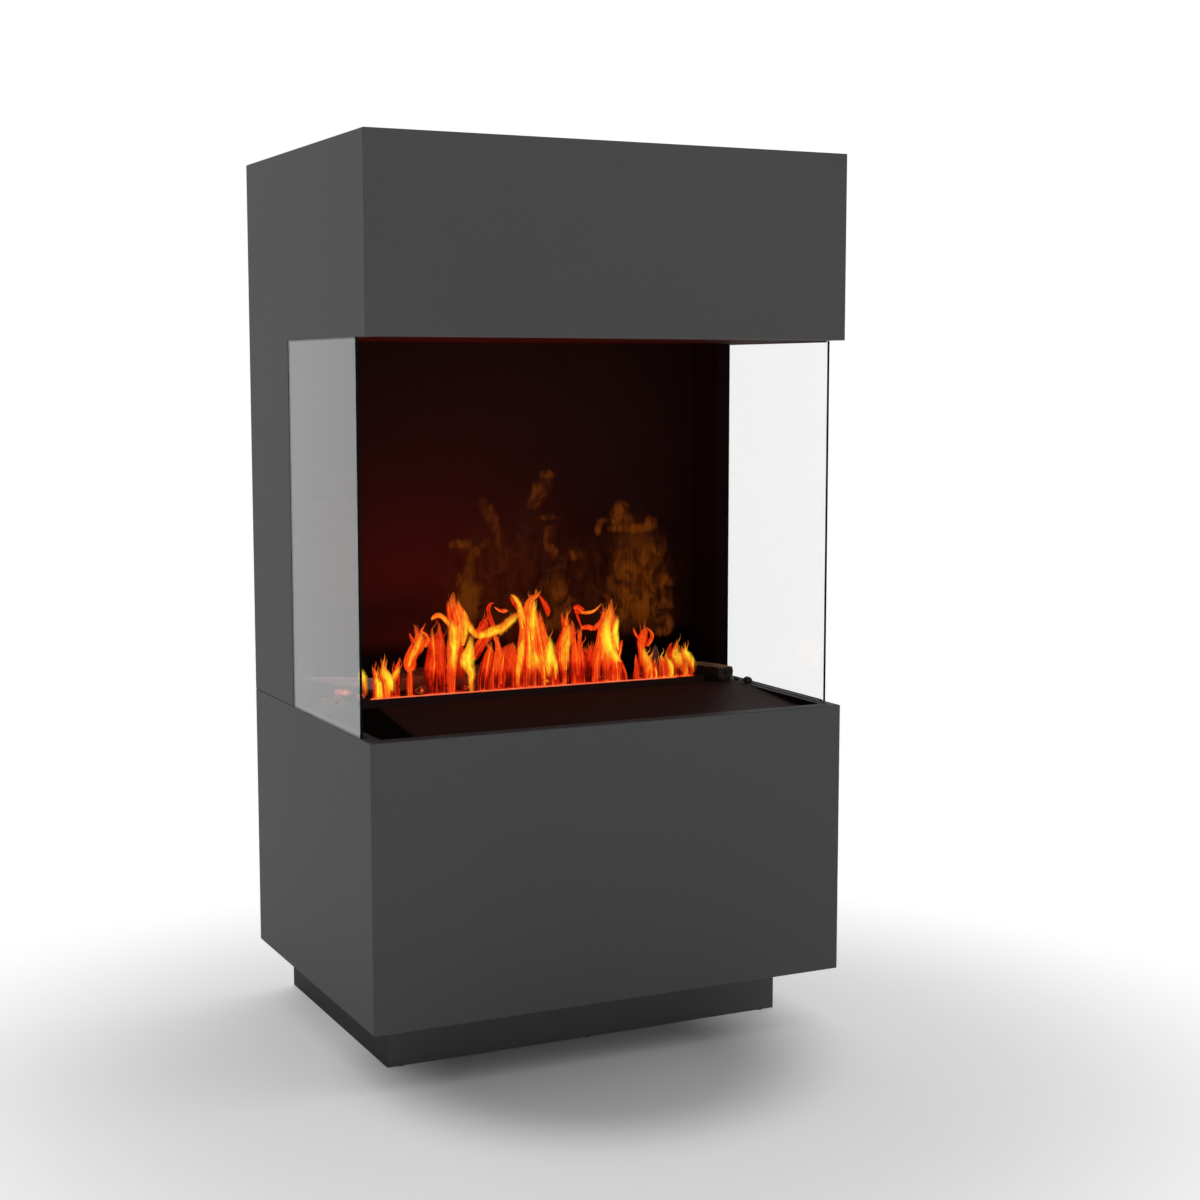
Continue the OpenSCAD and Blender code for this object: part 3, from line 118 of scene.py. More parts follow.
class Finish:
    """A material for one surface finish, or the surround's light, with its main shader to feed."""

    def __init__(self, name, store=bpy.data.materials, shader="Principled BSDF"):
        self.material = store.new(name)
        self.material.use_nodes = True
        self.tree = self.material.node_tree
        self.shader = self.tree.nodes[shader]

    def node(self, kind, inputs=None, out=0, **settings):
        """A new node with its settings and what goes into it; gives one of its outputs."""
        made = self.tree.nodes.new(kind)
        for name, value in settings.items():
            setattr(made, name, value)
        for name, value in (inputs or {}).items():
            self.join(value, made.inputs[name])
        return Wire(self, made.outputs[out])

    def join(self, value, socket):
        if isinstance(value, Wire):
            self.tree.links.new(value.socket, socket)
        else:
            socket.default_value = value

    def feed(self, **sockets):
        """Feeds the main shader: base_color= goes to its Base Color, and so on."""
        for name, value in sockets.items():
            title = name.replace("_", " ").title().replace("Ior", "IOR")
            if isinstance(value, tuple) and len(value) == 3:
                value = (*value, 1.0)
            self.join(value, self.shader.inputs[title])

    def place(self, x=1.0, y=1.0, z=1.0):
        """The piece's own coordinates in metres, stretched by a factor along each axis."""
        here = self.node("ShaderNodeTexCoord", out="Object")
        return self.node("ShaderNodeVectorMath", {0: here, 1: (x, y, z)}, operation="MULTIPLY")

    def axis(self, name, of=None):
        """The X, Y or Z of a direction, or of the piece's own coordinates."""
        return self.node("ShaderNodeSeparateXYZ", {0: of or self.place()}, out=name)

    def mark(self, name):
        """A number that the mesh holds for each of its points."""
        return self.node("ShaderNodeAttribute", out="Fac", attribute_name=name)

    def noise(self, place, scale, detail, roughness=0.5, distortion=0.0):
        """Cloudy noise from 0 to 1, with so many features to the metre."""
        return self.node(
            "ShaderNodeTexNoise",
            {
                "Vector": place,
                "Scale": scale,
                "Detail": detail,
                "Roughness": roughness,
                "Distortion": distortion,
            },
        )

    def between(self, value, low, high):
        """Runs smoothly from 0 to 1 while value goes from low to high."""
        return self.node(
            "ShaderNodeMapRange",
            {"Value": value, "From Min": low, "From Max": high},
            interpolation_type="SMOOTHSTEP",
        )

    def tint(self, share, first, second):
        """The first colour where share is 0 and the second where it is 1."""
        first, second = ((*c, 1.0) if isinstance(c, tuple) else c for c in (first, second))
        return self.node("ShaderNodeMix", {0: share, 6: first, 7: second}, out=2, data_type="RGBA")

    def ramp(self, value, *stops):
        """Runs through several colours, each with the value that it stands at."""
        colours = self.node("ShaderNodeValToRGB", {0: value})
        elements = colours.socket.node.color_ramp.elements
        while len(elements) < len(stops):
            elements.new(1.0)
        for stop, (place, colour) in zip(elements, stops):
            stop.position = place
            stop.color = (*colour, 1.0)
        return colours

    def bump(self, height, strength, distance):
        return self.node("ShaderNodeBump", {"Height": height, "Strength": strength, "Distance": distance})

    def blend(self, share, other):
        """Shows another shader in place of the main one where share is 1."""
        own = self.tree.nodes.new("ShaderNodeMixShader")
        for value, socket in zip((share, Wire(self, self.shader.outputs[0]), other), own.inputs):
            self.join(value, socket)
        self.tree.links.new(own.outputs[0], self.tree.nodes["Material Output"].inputs["Surface"])


def mesh_piece(name, points, faces, finish, smooth=True):
    """A new piece from points in metres and faces, in its finish, linked into the scene."""
    mesh = bpy.data.meshes.new(name)
    mesh.from_pydata([tuple(p) for p in points], [], faces)
    mesh.materials.append(finish.material)
    if smooth:
        mesh.shade_smooth()
    piece = bpy.data.objects.new(name, mesh)
    bpy.context.scene.collection.objects.link(piece)
    return piece


floor_half = 14.0
shade_middle = Vector((-0.05, -0.29))
dark_shade = (0.2, 0.42)
soft_shade = (0.55, 1.3)
far_floor = (1.5, 3.0)
far_floor_loss = 0.07
floor_paint = Finish("pale_floor")
floor_cloud = floor_paint.noise(floor_paint.place(), 1.4, 3.0)
floor_from_shade = floor_paint.node(
    "ShaderNodeVectorMath",
    {0: floor_paint.place(z=0.0), 1: (shade_middle.x, shade_middle.y, 0.0)},
    operation="SUBTRACT",
)
floor_reach = floor_paint.node(
    "ShaderNodeVectorMath", {0: floor_from_shade}, out="Value", operation="LENGTH"
)
# Painted light on the floor: its emission is off round shade_middle, a painted shade at the cabinet's foot,
# and grows outwards.
floor_painted_light = floor_paint.between(floor_reach, *dark_shade) * 0.5
floor_painted_light = floor_painted_light + floor_paint.between(floor_reach, *soft_shade) * 0.5
floor_painted_light = floor_painted_light - floor_paint.between(floor_reach, *far_floor) * far_floor_loss
floor_paint.feed(
    base_color=floor_paint.tint(floor_cloud, (0.78, 0.78, 0.78), (0.81, 0.81, 0.81)),
    roughness=0.8 + 0.1 * floor_cloud,
    specular_ior_level=0.1,
    emission_color=floor_paint.tint(floor_painted_light, (0.0, 0.0, 0.0), (1.0, 1.0, 1.0)),
    emission_strength=0.52,
)
floor_corners = [(-1, -1), (1, -1), (1, 1), (-1, 1)]
floor = mesh_piece(
    "studio_floor",
    [(x * floor_half, y * floor_half, cad_box[0].z) for x, y in floor_corners],
    [(0, 1, 2, 3)],
    floor_paint,
    smooth=False,
)

surround = Finish("white_surround", bpy.data.worlds, "Background")
sky = surround.node("ShaderNodeTexCoord", out="Generated")
sky_behind = surround.node(
    "ShaderNodeVectorMath", {0: sky, 1: (0.6, 0.8, 0.0)}, out="Value", operation="DOT_PRODUCT"
)
sky_up = surround.axis("Z", sky)
canopy = surround.between(sky_up, 0.1, 0.35) * surround.between(sky_behind, 0.3, -0.6)
surround.feed(color=surround.tint(canopy, (1.0, 1.0, 1.0), (0.05, 0.05, 0.05)), strength=1.02)
bpy.context.scene.world = surround.material


# Cabinet boards: 25 mm fibre boards, mitred and bevelled at their outer edges, sprayed all round with
# a fine matte anthracite lacquer. The side boards of the column and the hood are one L-shaped piece.
inner_x = -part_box("base_left")[1].x
inner_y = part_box("base_front")[1].y
plinth_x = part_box("plinth_boards")[1].x
rim_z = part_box("base_front")[1].z
anthracite = 0.086

# What lies within a thin skin of one of these planes counts as a face on it.
skin_ends = 0.0006
skin_full = 0.0002


def lacquer(name, inner_unshaded=1.0, rim_unshaded=1.0, end_unshaded=1.0):
    """The grey, and the shares of it left on the box's inner faces, its rim and the plinth's ends; the rest
    there is painted shade.
    """
    paint = Finish(name)
    across = paint.axis("X")
    behind = paint.axis("Y")
    inner = paint.between(across * across, (inner_x + skin_ends) ** 2, (inner_x + skin_full) ** 2)
    inner = inner * paint.between(behind, inner_y - skin_ends, inner_y - skin_full)
    ends = paint.between(across * across, (plinth_x - skin_ends) ** 2, (plinth_x - skin_full) ** 2)
    rim = paint.between(paint.axis("Z"), rim_z - skin_ends, rim_z - skin_full)
    spray = paint.noise(paint.place(), 2.6, 3.0)
    peel = paint.noise(paint.place(), 520.0, 2.0)
    grit = paint.noise(paint.place(), 2600.0, 1.0)
    coat = paint.tint(
        spray * 0.7 + grit * 0.3,
        (anthracite * 0.93, anthracite * 0.93, anthracite * 0.95),
        (anthracite * 1.07, anthracite * 1.07, anthracite * 1.08),
    )
    # Painted shade: near-black on the box's inner faces, darker on its rim top and on the plinth's end
    # faces.
    unshaded = (1.0 - inner * (1.0 - inner_unshaded)) * (1.0 - ends * (1.0 - end_unshaded))
    unshaded = unshaded * (1.0 - rim * (1.0 - rim_unshaded))
    paint.feed(
        base_color=paint.tint(unshaded, (0.0, 0.0, 0.0), coat),
        roughness=0.46 + 0.09 * spray,
        normal=paint.bump(peel * 0.7 + grit * 0.3, 0.08, 0.0003),
        specular_ior_level=0.035,
    )
    return paint


def dress(finish, *nodes):
    """Puts a finish on carried-over construction pieces."""
    for name in nodes:
        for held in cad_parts[name].material_slots:
            held.material = finish.material


dress(lacquer("anthracite_lacquer"), "base_bottom", "upper_left", "upper_right", "hood_front", "hood_top")
# The lower box's boards carry painted shade: near-black inner faces and a darker rim top.
dress(lacquer("rim_lacquer_painted_shade", inner_unshaded=0.06, rim_unshaded=0.76), "base_left", "base_right", "base_front")


# Plinth: four boards set back under the lower box in the same lacquer, with a painted shade that darkens
# their end faces, on thin round rubber glides that are stuck under the boards' lower edges.
dress(lacquer("plinth_lacquer", end_unshaded=0.42), "plinth_boards")

glide_rubber = Finish("glide_rubber")
rubber_grain = glide_rubber.noise(glide_rubber.place(), 900.0, 3.0)
glide_rubber.feed(
    base_color=glide_rubber.tint(rubber_grain, (0.012, 0.012, 0.012), (0.028, 0.028, 0.028)),
    roughness=0.75 + 0.15 * rubber_grain,
    normal=glide_rubber.bump(rubber_grain, 0.2, 0.0002),
)
dress(glide_rubber, "plinth_glides")


# Rear boards, insert shelf and battens: 12 mm dark-faced boards with vent slots close the back, a bare
# fibre board shelf carries the insert, and planed pine battens and dowels hold the boards together.
back_face = Finish("dark_back_board")
back_fibre = back_face.noise(back_face.place(60.0, 60.0, 60.0), 9.0, 6.0, 0.65)
back_face.feed(
    base_color=back_face.tint(back_fibre, (0.026, 0.026, 0.028), (0.048, 0.048, 0.05)),
    roughness=0.66 + 0.16 * back_fibre,
    normal=back_face.bump(back_fibre, 0.15, 0.0003),
)
dress(back_face, "base_back", "column_back")

raw_board = Finish("bare_fibre_board")
board_fibre = raw_board.noise(raw_board.place(), 700.0, 5.0, 0.7)
board_cloud = raw_board.noise(raw_board.place(), 12.0, 3.0)
raw_board.feed(
    base_color=raw_board.tint(board_fibre * 0.7 + board_cloud * 0.3, (0.24, 0.165, 0.1), (0.42, 0.31, 0.2)),
    roughness=0.86,
    normal=raw_board.bump(board_fibre, 0.25, 0.0003),
)
dress(raw_board, "insert_shelf")

pine = Finish("planed_pine")
pine_bands = pine.noise(pine.place(3.0, 70.0, 70.0), 1.0, 4.0, 0.6, 0.6)
pine_pores = pine.noise(pine.place(30.0, 900.0, 900.0), 1.0, 2.0)
pine.feed(
    base_color=pine.ramp(
        pine_bands * 0.8 + pine_pores * 0.2,
        (0.3, (0.36, 0.2, 0.085)),
        (0.5, (0.56, 0.37, 0.19)),
        (0.7, (0.68, 0.5, 0.29)),
    ),
    roughness=0.55 + 0.2 * pine_pores,
    normal=pine.bump(pine_bands, 0.2, 0.0004),
)
dress(pine, "battens", "column_dowels")


# Zinc-plated steel: the back screws, the wall fixing plates, the insert's folded trough, the float's
# stem and the power supply's case, with the soft cloudy sheen of plated sheet.
zinc = Finish("zinc_plated_steel")
spangle = zinc.node("ShaderNodeTexVoronoi", {"Vector": zinc.place(), "Scale": 140.0}, out="Color")
zinc_cloud = zinc.noise(zinc.place(), 30.0, 4.0)
zinc.feed(
    base_color=zinc.tint(spangle * 0.25 + zinc_cloud * 0.6, (0.38, 0.39, 0.4), (0.66, 0.67, 0.68)),
    roughness=0.3 + 0.25 * zinc_cloud,
    metallic=1.0,
    normal=zinc.bump(zinc_cloud, 0.1, 0.0002),
)
dress(zinc, "back_screws", "wall_plates", "insert_housing", "float_stem", "power_supply")


# Black steel sheet: the firebox lining is folded from 2 mm sheet in a heat-proof matte coat, the
# ledges, hinges, mist guides, filter sleeve and glass angles in a satin powder coat.
def black_sheet(name, low, high, rough, grain=1300.0, sheen=0.5, shade=None):
    coat = Finish(name)
    powder = coat.noise(coat.place(), grain, 3.0, 0.6)
    haze = coat.noise(coat.place(), 7.0, 3.0)
    colour = coat.tint(powder * 0.6 + haze * 0.4, low, high)
    # A given shade mask paints a near-black painted shade over the coat.
    coat.feed(
        base_color=coat.tint(shade(coat), colour, (0.001, 0.001, 0.001)) if shade else colour,
        roughness=rough + 0.12 * haze,
        normal=coat.bump(powder, 0.12, 0.0002),
        specular_ior_level=sheen,
    )
    return coat


powder_coat = black_sheet("satin_powder_coat", (0.012, 0.012, 0.013), (0.024, 0.024, 0.025), 0.36)
dress(powder_coat, "deck_ledges", "lid_hinges", "mist_guides", "filter_sleeve", "glass_retainers")

wall_shade_ends = 0.622
wall_shade_full = 0.583


def logs_painted_shade(coat):
    """Painted shade: 1 at the wall's foot, where the logs keep the fire's light off it."""
    return coat.between(coat.axis("Z"), wall_shade_ends, wall_shade_full)


# The wall, lining and soffit coats are tinted red as a painted glow of the fire, on top of the light that
# the fire lamps throw.
wall_glow_low = (0.009, 0.0032, 0.0028)
wall_glow_high = (0.014, 0.005, 0.0042)
wall_coat = black_sheet("heat_proof_black_painted_glow", wall_glow_low, wall_glow_high, 0.7, sheen=0.03, shade=logs_painted_shade)
dress(wall_coat, "firebox_back")
lining_coat = black_sheet("lining_black_painted_glow", (0.006, 0.002, 0.0018), (0.009, 0.0035, 0.003), 0.7, sheen=0.02)
dress(lining_coat, "niche_linings")
soffit_coat = black_sheet("soffit_black", (0.02, 0.004, 0.002), (0.028, 0.007, 0.004), 0.6, 800.0, 0.03)
dress(soffit_coat, "soffit")


# Deck: the sloping lid over the water tank, the firebox floor round the burner and the burner's cover
# with its long mist slot, all in one satin black enamel, tinted dull brown as a painted reflection of
# the fire, on top of the fire lamp's light.
strip_slant = 0.075
strip_ends = -0.284
strip_full = -0.289


def left_rim_shade(coat):
    """Painted shade: 1 on the strip of the lid that lies in the shade of the left rim."""
    return coat.between(coat.axis("X") - strip_slant * coat.axis("Y"), strip_ends, strip_full)


reflection_tinted_enamel = {
    "low": (0.024, 0.0125, 0.0118),
    "high": (0.039, 0.0185, 0.0172),
    "rough": 0.5,
    "grain": 600.0,
    "sheen": 0.03,
}
dress(black_sheet("deck_enamel", **reflection_tinted_enamel), "firebox_floor", "burner_cover")
dress(black_sheet("lid_enamel", **reflection_tinted_enamel, shade=left_rim_shade), "deck_lid")


# Side glasses: 4 mm clear float glass with ground edges. Their narrow faces carry a painted shade that
# makes them black, a dark face in place of clear glass, all but the upper part of the rear edge, left
# clear where it is lit. Seen at a slant they take in the white surround as a grey veil.
clear_glass = Finish("clear_float_glass")
glass_normal = clear_glass.node("ShaderNodeNewGeometry", out="True Normal")
glass_across = clear_glass.axis("X", glass_normal)
glass_behind = clear_glass.axis("Y", glass_normal)
rear_edge_dark = 0.94
rear_edge_lit = 1.02
glass_height = clear_glass.axis("Z")
# Painted shade: the narrow faces turn dark, all but the upper rear edge.
glass_edge_shade = clear_glass.between(glass_across * glass_across, 0.6, 0.4)
glass_lit = clear_glass.between(glass_height, rear_edge_dark, rear_edge_lit)
glass_lit = clear_glass.between(glass_behind, 0.4, 0.6) * glass_lit
glass_edge_shade = glass_edge_shade * (1.0 - glass_lit)
glass_film = clear_glass.noise(clear_glass.place(), 5.0, 4.0)
clear_glass.feed(
    base_color=(0.985, 0.995, 0.99),
    roughness=0.0004 * glass_film,
    transmission_weight=1.0,
    ior=1.4,
)
edge_shade_face = clear_glass.node(
    "ShaderNodeBsdfPrincipled",
    {
        "Base Color": clear_glass.tint(glass_film, (0.002, 0.005, 0.004), (0.006, 0.014, 0.011)),
        "Roughness": 0.35 + 0.3 * glass_film,
        "Specular IOR Level": 0.0,
    },
)
clear_glass.blend(glass_edge_shade, edge_shade_face)
dress(clear_glass, "glass_left", "glass_right")


# Insert: the moulded basin with its potted transducers, aluminium lamp bars with frosted lenses that
# colour the mist from below, and the level sensor's foam ring on its steel stem.
def moulded(name, low, high, rough=0.5, grain=1100.0, alpha=None):
    plastic = Finish(name)
    erosion = plastic.noise(plastic.place(), grain, 2.0)
    flow = plastic.noise(plastic.place(), 18.0, 2.0)
    plastic.feed(
        base_color=plastic.tint(erosion * 0.5 + flow * 0.5, low, high),
        roughness=rough + 0.1 * flow,
        normal=plastic.bump(erosion, 0.1, 0.0002),
    )
    if alpha:
        plastic.feed(alpha=alpha + 0.08 * flow)
    return plastic


dress(moulded("basin_plastic", (0.022, 0.024, 0.027), (0.034, 0.037, 0.041)), "sump_basin")
dress(moulded("float_foam", (0.7, 0.68, 0.6), (0.86, 0.84, 0.78), 0.7, 600.0), "float_ring")

transducer_glaze = Finish("potted_transducer")
glaze_specks = transducer_glaze.noise(transducer_glaze.place(), 350.0, 4.0)
transducer_glaze.feed(
    base_color=transducer_glaze.tint(glaze_specks, (0.5, 0.46, 0.38), (0.72, 0.68, 0.6)),
    roughness=0.25 + 0.25 * glaze_specks,
    coat_weight=0.3 * glaze_specks,
)
dress(transducer_glaze, "transducers")

lamp_aluminium = Finish("drawn_aluminium")
draw_lines = lamp_aluminium.noise(lamp_aluminium.place(4.0, 2400.0, 2400.0), 1.0, 2.0)
lamp_aluminium.feed(
    base_color=lamp_aluminium.tint(draw_lines, (0.6, 0.61, 0.62), (0.8, 0.81, 0.82)),
    roughness=0.25 + 0.2 * draw_lines,
    metallic=1.0,
)
dress(lamp_aluminium, "led_bars")

lamp_lens = Finish("lit_frosted_lens")
lens_spots = lamp_lens.noise(lamp_lens.place(120.0, 30.0, 30.0), 1.0, 1.0)
lamp_lens.feed(
    base_color=lamp_lens.tint(lens_spots, (0.8, 0.25, 0.06), (1.0, 0.5, 0.16)),
    roughness=0.5 + 0.2 * lens_spots,
    emission_color=lamp_lens.tint(lens_spots, (1.0, 0.1, 0.01), (1.0, 0.34, 0.05)),
    emission_strength=2.2,
)
dress(lamp_lens, "led_lenses")


# Service parts: fans, feed pump and clear pipes, the frosted water tank with its blue cap and folding
# handle, the control box, and the mains inlet and air filter let into the rear board.
fine_black = moulded("fine_black_plastic", (0.014, 0.014, 0.016), (0.024, 0.024, 0.027), 0.42)
dress(fine_black, "fan_frames", "fan_left_rotor", "fan_right_rotor", "tank_handle", "control_box")
dress(fine_black, "mains_inlet", "filter_tray")
dress(moulded("pump_plastic", (0.045, 0.05, 0.055), (0.07, 0.076, 0.084), 0.45), "feed_pump")
dress(moulded("clear_pipe", (0.7, 0.74, 0.77), (0.82, 0.85, 0.88), 0.12, alpha=0.5), "water_pipes")
dress(moulded("frosted_tank", (0.66, 0.71, 0.74), (0.78, 0.82, 0.84), 0.32, 800.0, 0.62), "water_tank")
dress(moulded("cap_blue", (0.02, 0.08, 0.22), (0.035, 0.12, 0.3), 0.4), "tank_cap")
dress(black_sheet("control_plate", (0.024, 0.027, 0.03), (0.036, 0.04, 0.044), 0.34), "control_lid")
dress(moulded("button_red", (0.46, 0.045, 0.03), (0.6, 0.07, 0.045), 0.25), "button_power")
button_grey = moulded("button_grey", (0.56, 0.56, 0.56), (0.7, 0.7, 0.7), 0.28)
dress(button_grey, "button_flame_up", "button_flame_down")
dress(moulded("rocker_black", (0.008, 0.008, 0.008), (0.016, 0.016, 0.016), 0.18), "mains_rocker")

filter_foam = Finish("open_filter_foam")
foam_cells = filter_foam.node("ShaderNodeTexVoronoi", {"Vector": filter_foam.place(), "Scale": 650.0})
filter_foam.feed(
    base_color=filter_foam.ramp(foam_cells, (0.1, (0.01, 0.01, 0.011)), (0.7, (0.13, 0.13, 0.14))),
    roughness=0.9,
    normal=filter_foam.bump(foam_cells, 0.7, 0.001),
)
dress(filter_foam, "filter_pad")


# Logs: cast and painted copies of firewood. Two split lengths lie at the ends of the burner with bark
# below and a sawn face up, and a charred round and a split end stand behind the fire.
def log_finish(name, bark_low, bark_high, wood_low, wood_high, ember=0.0):
    """Bark and split wood on one log; the mark cut is 1 on split faces and may be less on sawn ends."""
    skin = Finish(name)
    cut = skin.mark("cut")
    ridges = skin.noise(skin.place(26.0, 150.0, 150.0), 1.0, 5.0, 0.65, 0.8)
    fibre = skin.noise(skin.place(14.0, 420.0, 420.0), 1.0, 5.0, 0.6, 0.3)
    blotch = skin.noise(skin.place(), 34.0, 4.0)
    bark = skin.tint(skin.between(ridges, 0.32, 0.68), bark_low, bark_high)
    wood = skin.tint(skin.between(fibre * 0.65 + blotch * 0.35, 0.3, 0.68), wood_low, wood_high)
    skin.feed(
        base_color=skin.tint(cut, bark, wood),
        roughness=0.72 + 0.2 * blotch,
        normal=skin.bump(ridges * (1.0 - cut) + fibre * cut * 0.5, 0.9, 0.0022),
        specular_ior_level=0.3,
    )
    # Painted glow: ember light given off in the bark's grooves, though the log is no lamp.
    if ember:
        glow = skin.between(ridges, 0.36, 0.26) * skin.between(blotch, 0.42, 0.62)
        skin.feed(
            emission_color=skin.tint(glow, (0.0, 0.0, 0.0), (1.0, 0.09, 0.01)),
            emission_strength=ember,
        )
    return skin


def hold(piece, name, numbers):
    """Gives each point of a mesh its number, for a finish to read."""
    piece.data.attributes.new(name, "FLOAT", "POINT").data.foreach_set("value", numbers)


def log_mesh(name, finish, length, radius, under, over, seed, rows=84, sawn=1.0):
    """A log along X with its flat underside at z 0; its top is split flat where it passes 'over'."""
    spokes = 72
    points = []
    cuts = []
    for i in range(rows):
        u = i / (rows - 1)
        for j in range(spokes):
            a = math.tau * j / spokes
            bark = 1 + 0.05 * math.sin(3 * a + 1.22 * 8 * u + seed)
            bark += 0.04 * math.sin(5 * a - 1.92 * 8 * u + 2 * seed)
            x = (u - 0.5) * length
            spot = Vector((x * 60 + seed, math.cos(a) * radius * 130, math.sin(a) * radius * 130))
            groove = noise.noise(Vector((x * 22 + seed, math.cos(a) * 4.2, math.sin(a) * 4.2)))
            q = radius * bark * (1 - 0.06 * (2 * u - 1) ** 2)
            q += radius * (0.07 * groove + 0.03 * noise.noise(spot) - 0.05)
            y, z = q * math.cos(a), q * math.sin(a)
            split = z > over
            if split:
                rough = noise.noise(Vector((x * 18, y * 240, seed)))
                rough += 0.5 * noise.noise(Vector((x * 50, y * 600, seed)))
                z = over - 0.0006 + 0.0009 * rough
            z = max(z, -under)
            points.append(Vector((x, y, z + under)))
            cuts.append(1.0 if split else 0.0)
    faces = []
    for i in range(rows - 1):
        for j in range(spokes):
            k = (j + 1) % spokes
            a, b = i * spokes, (i + 1) * spokes
            faces.append((a + j, b + j, b + k, a + k))
    for end in (0, rows - 1):
        first = end * spokes
        hub = sum((points[first + j] for j in range(spokes)), Vector()) / spokes
        ring = [first + j for j in range(spokes)]
        side = -1 if end == 0 else 1
        for share in (0.93, 0.7, 0.45, 0.2):
            start = len(points)
            for j in range(spokes):
                p = hub.lerp(points[first + j], share)
                chip = noise.noise(Vector((p.y * 320, p.z * 320, seed + end)))
                points.append(Vector((p.x + side * (0.0007 * chip + 0.0006), p.y, p.z)))
                cuts.append(sawn)
            inner = list(range(start, start + spokes))
            for j in range(spokes):
                k = (j + 1) % spokes
                quad = (ring[j], inner[j], inner[k], ring[k])
                faces.append(quad if end else quad[::-1])
            ring = inner
        faces.append(tuple(ring) if end else tuple(ring[::-1]))
    piece = mesh_piece(name, points, faces, finish)
    hold(piece, "cut", cuts)
    return piece


def settle(piece, place, turn=0):
    piece.matrix_world = Matrix.Translation(place) @ Matrix.Rotation(math.radians(turn), 4, "Z")


def middle_of(node):
    """Where the middle of a construction piece lies in plan."""
    low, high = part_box(node)
    return (low.x + high.x) / 2, (low.y + high.y) / 2


floor_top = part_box("firebox_floor")[1].z
wall_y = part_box("firebox_back")[0].y

# Seen through the left glass, the left log's upper face glows with painted fire light, an emission, and
# holds two painted ember glows.
brown_log = log_finish(
    "brown_log", (0.012, 0.008, 0.006), (0.05, 0.03, 0.02), (0.09, 0.042, 0.022), (0.2, 0.115, 0.066)
)
log_grain = brown_log.noise(brown_log.place(14.0, 420.0, 420.0), 1.0, 4.0, 0.6, 0.3)
log_patch = brown_log.noise(brown_log.place(190.0, 190.0, 240.0), 1.0, 3.0, 0.6, 0.8)
log_along = brown_log.axis("X")
log_up = brown_log.axis("Z")
log_crumb = brown_log.noise(brown_log.place(), 420.0, 3.0, 0.65, 0.5)
lit_slope = 0.13
lit_starts = 0.0262
lit_full = 0.0285
log_lit = brown_log.between(log_up + lit_slope * log_along, lit_starts, lit_full)
log_lit = log_lit * (0.35 + 0.65 * brown_log.between(log_patch, 0.35, 0.6)) * (0.5 + log_grain)
ember_spots = [(0.003, 0.0165, 0.015, 0.0062), (0.031, 0.009, 0.006, 0.006)]
log_ember = 0.0
for ember_x, ember_z, ember_half_x, ember_half_z in ember_spots:
    off_x = (log_along - ember_x) / ember_half_x
    off_z = (log_up - ember_z) / ember_half_z
    ember_spot = brown_log.between(off_x * off_x + off_z * off_z, 1.6, 0.0)
    log_ember = log_ember + ember_spot * brown_log.between(log_crumb, 0.42, 0.6)
brown_log.feed(
    emission_color=brown_log.tint(
        log_ember,
        brown_log.tint(log_lit, (0.0, 0.0, 0.0), (0.13, 0.066, 0.07)),
        brown_log.tint(log_ember, (0.9, 0.07, 0.01), (1.0, 0.36, 0.2)),
    ),
    emission_strength=1.0,
)
left_x, left_y = middle_of("log_left")
left_log = log_mesh(
    "left_log", brown_log, length=0.116, radius=0.023, under=0.023 * 0.75, over=0.023 * 0.85, seed=0.35
)
settle(left_log, (left_x, left_y, floor_top), turn=-34)
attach(left_log, "cabinet")
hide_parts("log_left")

# The right log's split face looks at the fire, its light wood made lighter still as painted fire light. It
# lies a little left of the solid one.
right_x, right_y = middle_of("log_right")
right_shift = 0.004
right_wood_painted_light = log_finish(
    "right_log_wood_painted_light", (0.008, 0.005, 0.004), (0.022, 0.012, 0.009), (0.19, 0.09, 0.045), (0.46, 0.26, 0.14)
)
right_log = log_mesh(
    "right_log", right_wood_painted_light, length=0.128, radius=0.021, under=0.0158, over=0.0078, seed=2.27, sawn=0.05
)
settle(right_log, (right_x - right_shift, right_y, floor_top), turn=105)
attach(right_log, "cabinet")
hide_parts("log_right")

# The charred round carries that painted ember glow.
charred_log = log_finish(
    "charred_log",
    (0.006, 0.004, 0.004),
    (0.03, 0.02, 0.016),
    (0.06, 0.03, 0.02),
    (0.13, 0.075, 0.055),
    ember=1.3,
)
back_log_x = -0.042
back_log_wall = 0.048
back_log = log_mesh(
    "back_log", charred_log, length=0.38, radius=0.024, under=0.024 * 0.8, over=0.024, seed=4.36, rows=150
)
settle(back_log, (back_log_x, wall_y - back_log_wall, floor_top), turn=-3)
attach(back_log, "cabinet")
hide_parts("logs_back")

split_h = 0.058
split_r = 0.026
split_grain = 0.0011
split_x = 0.26
split_wall = 0.058
split_foot = [(-1, -0.62, 0), (0.92, -0.77, 0), (1.15, 0.54, 0), (-0.77, 0.77, 0)]
split_corners = [*split_foot, (0.15, -0.15, 1), (0.46, 0.15, 0.9)]
split_faces = [(0, 3, 2, 1), (0, 1, 4), (1, 5, 4), (1, 2, 5), (2, 3, 5), (3, 4, 5), (3, 0, 4)]
split_wood = log_finish(
    "split_end", (0.05, 0.028, 0.02), (0.12, 0.07, 0.055), (0.1, 0.055, 0.042), (0.21, 0.125, 0.1)
)
split_log = mesh_piece(
    "split_log_end",
    [(x * split_r, y * split_r, z * split_h) for x, y, z in split_corners],
    split_faces,
    split_wood,
    smooth=False,
)
split_shape = bmesh.new()
split_shape.from_mesh(split_log.data)
bmesh.ops.subdivide_edges(split_shape, edges=split_shape.edges[:], cuts=11, use_grid_fill=True)
bmesh.ops.triangulate(split_shape, faces=split_shape.faces[:])
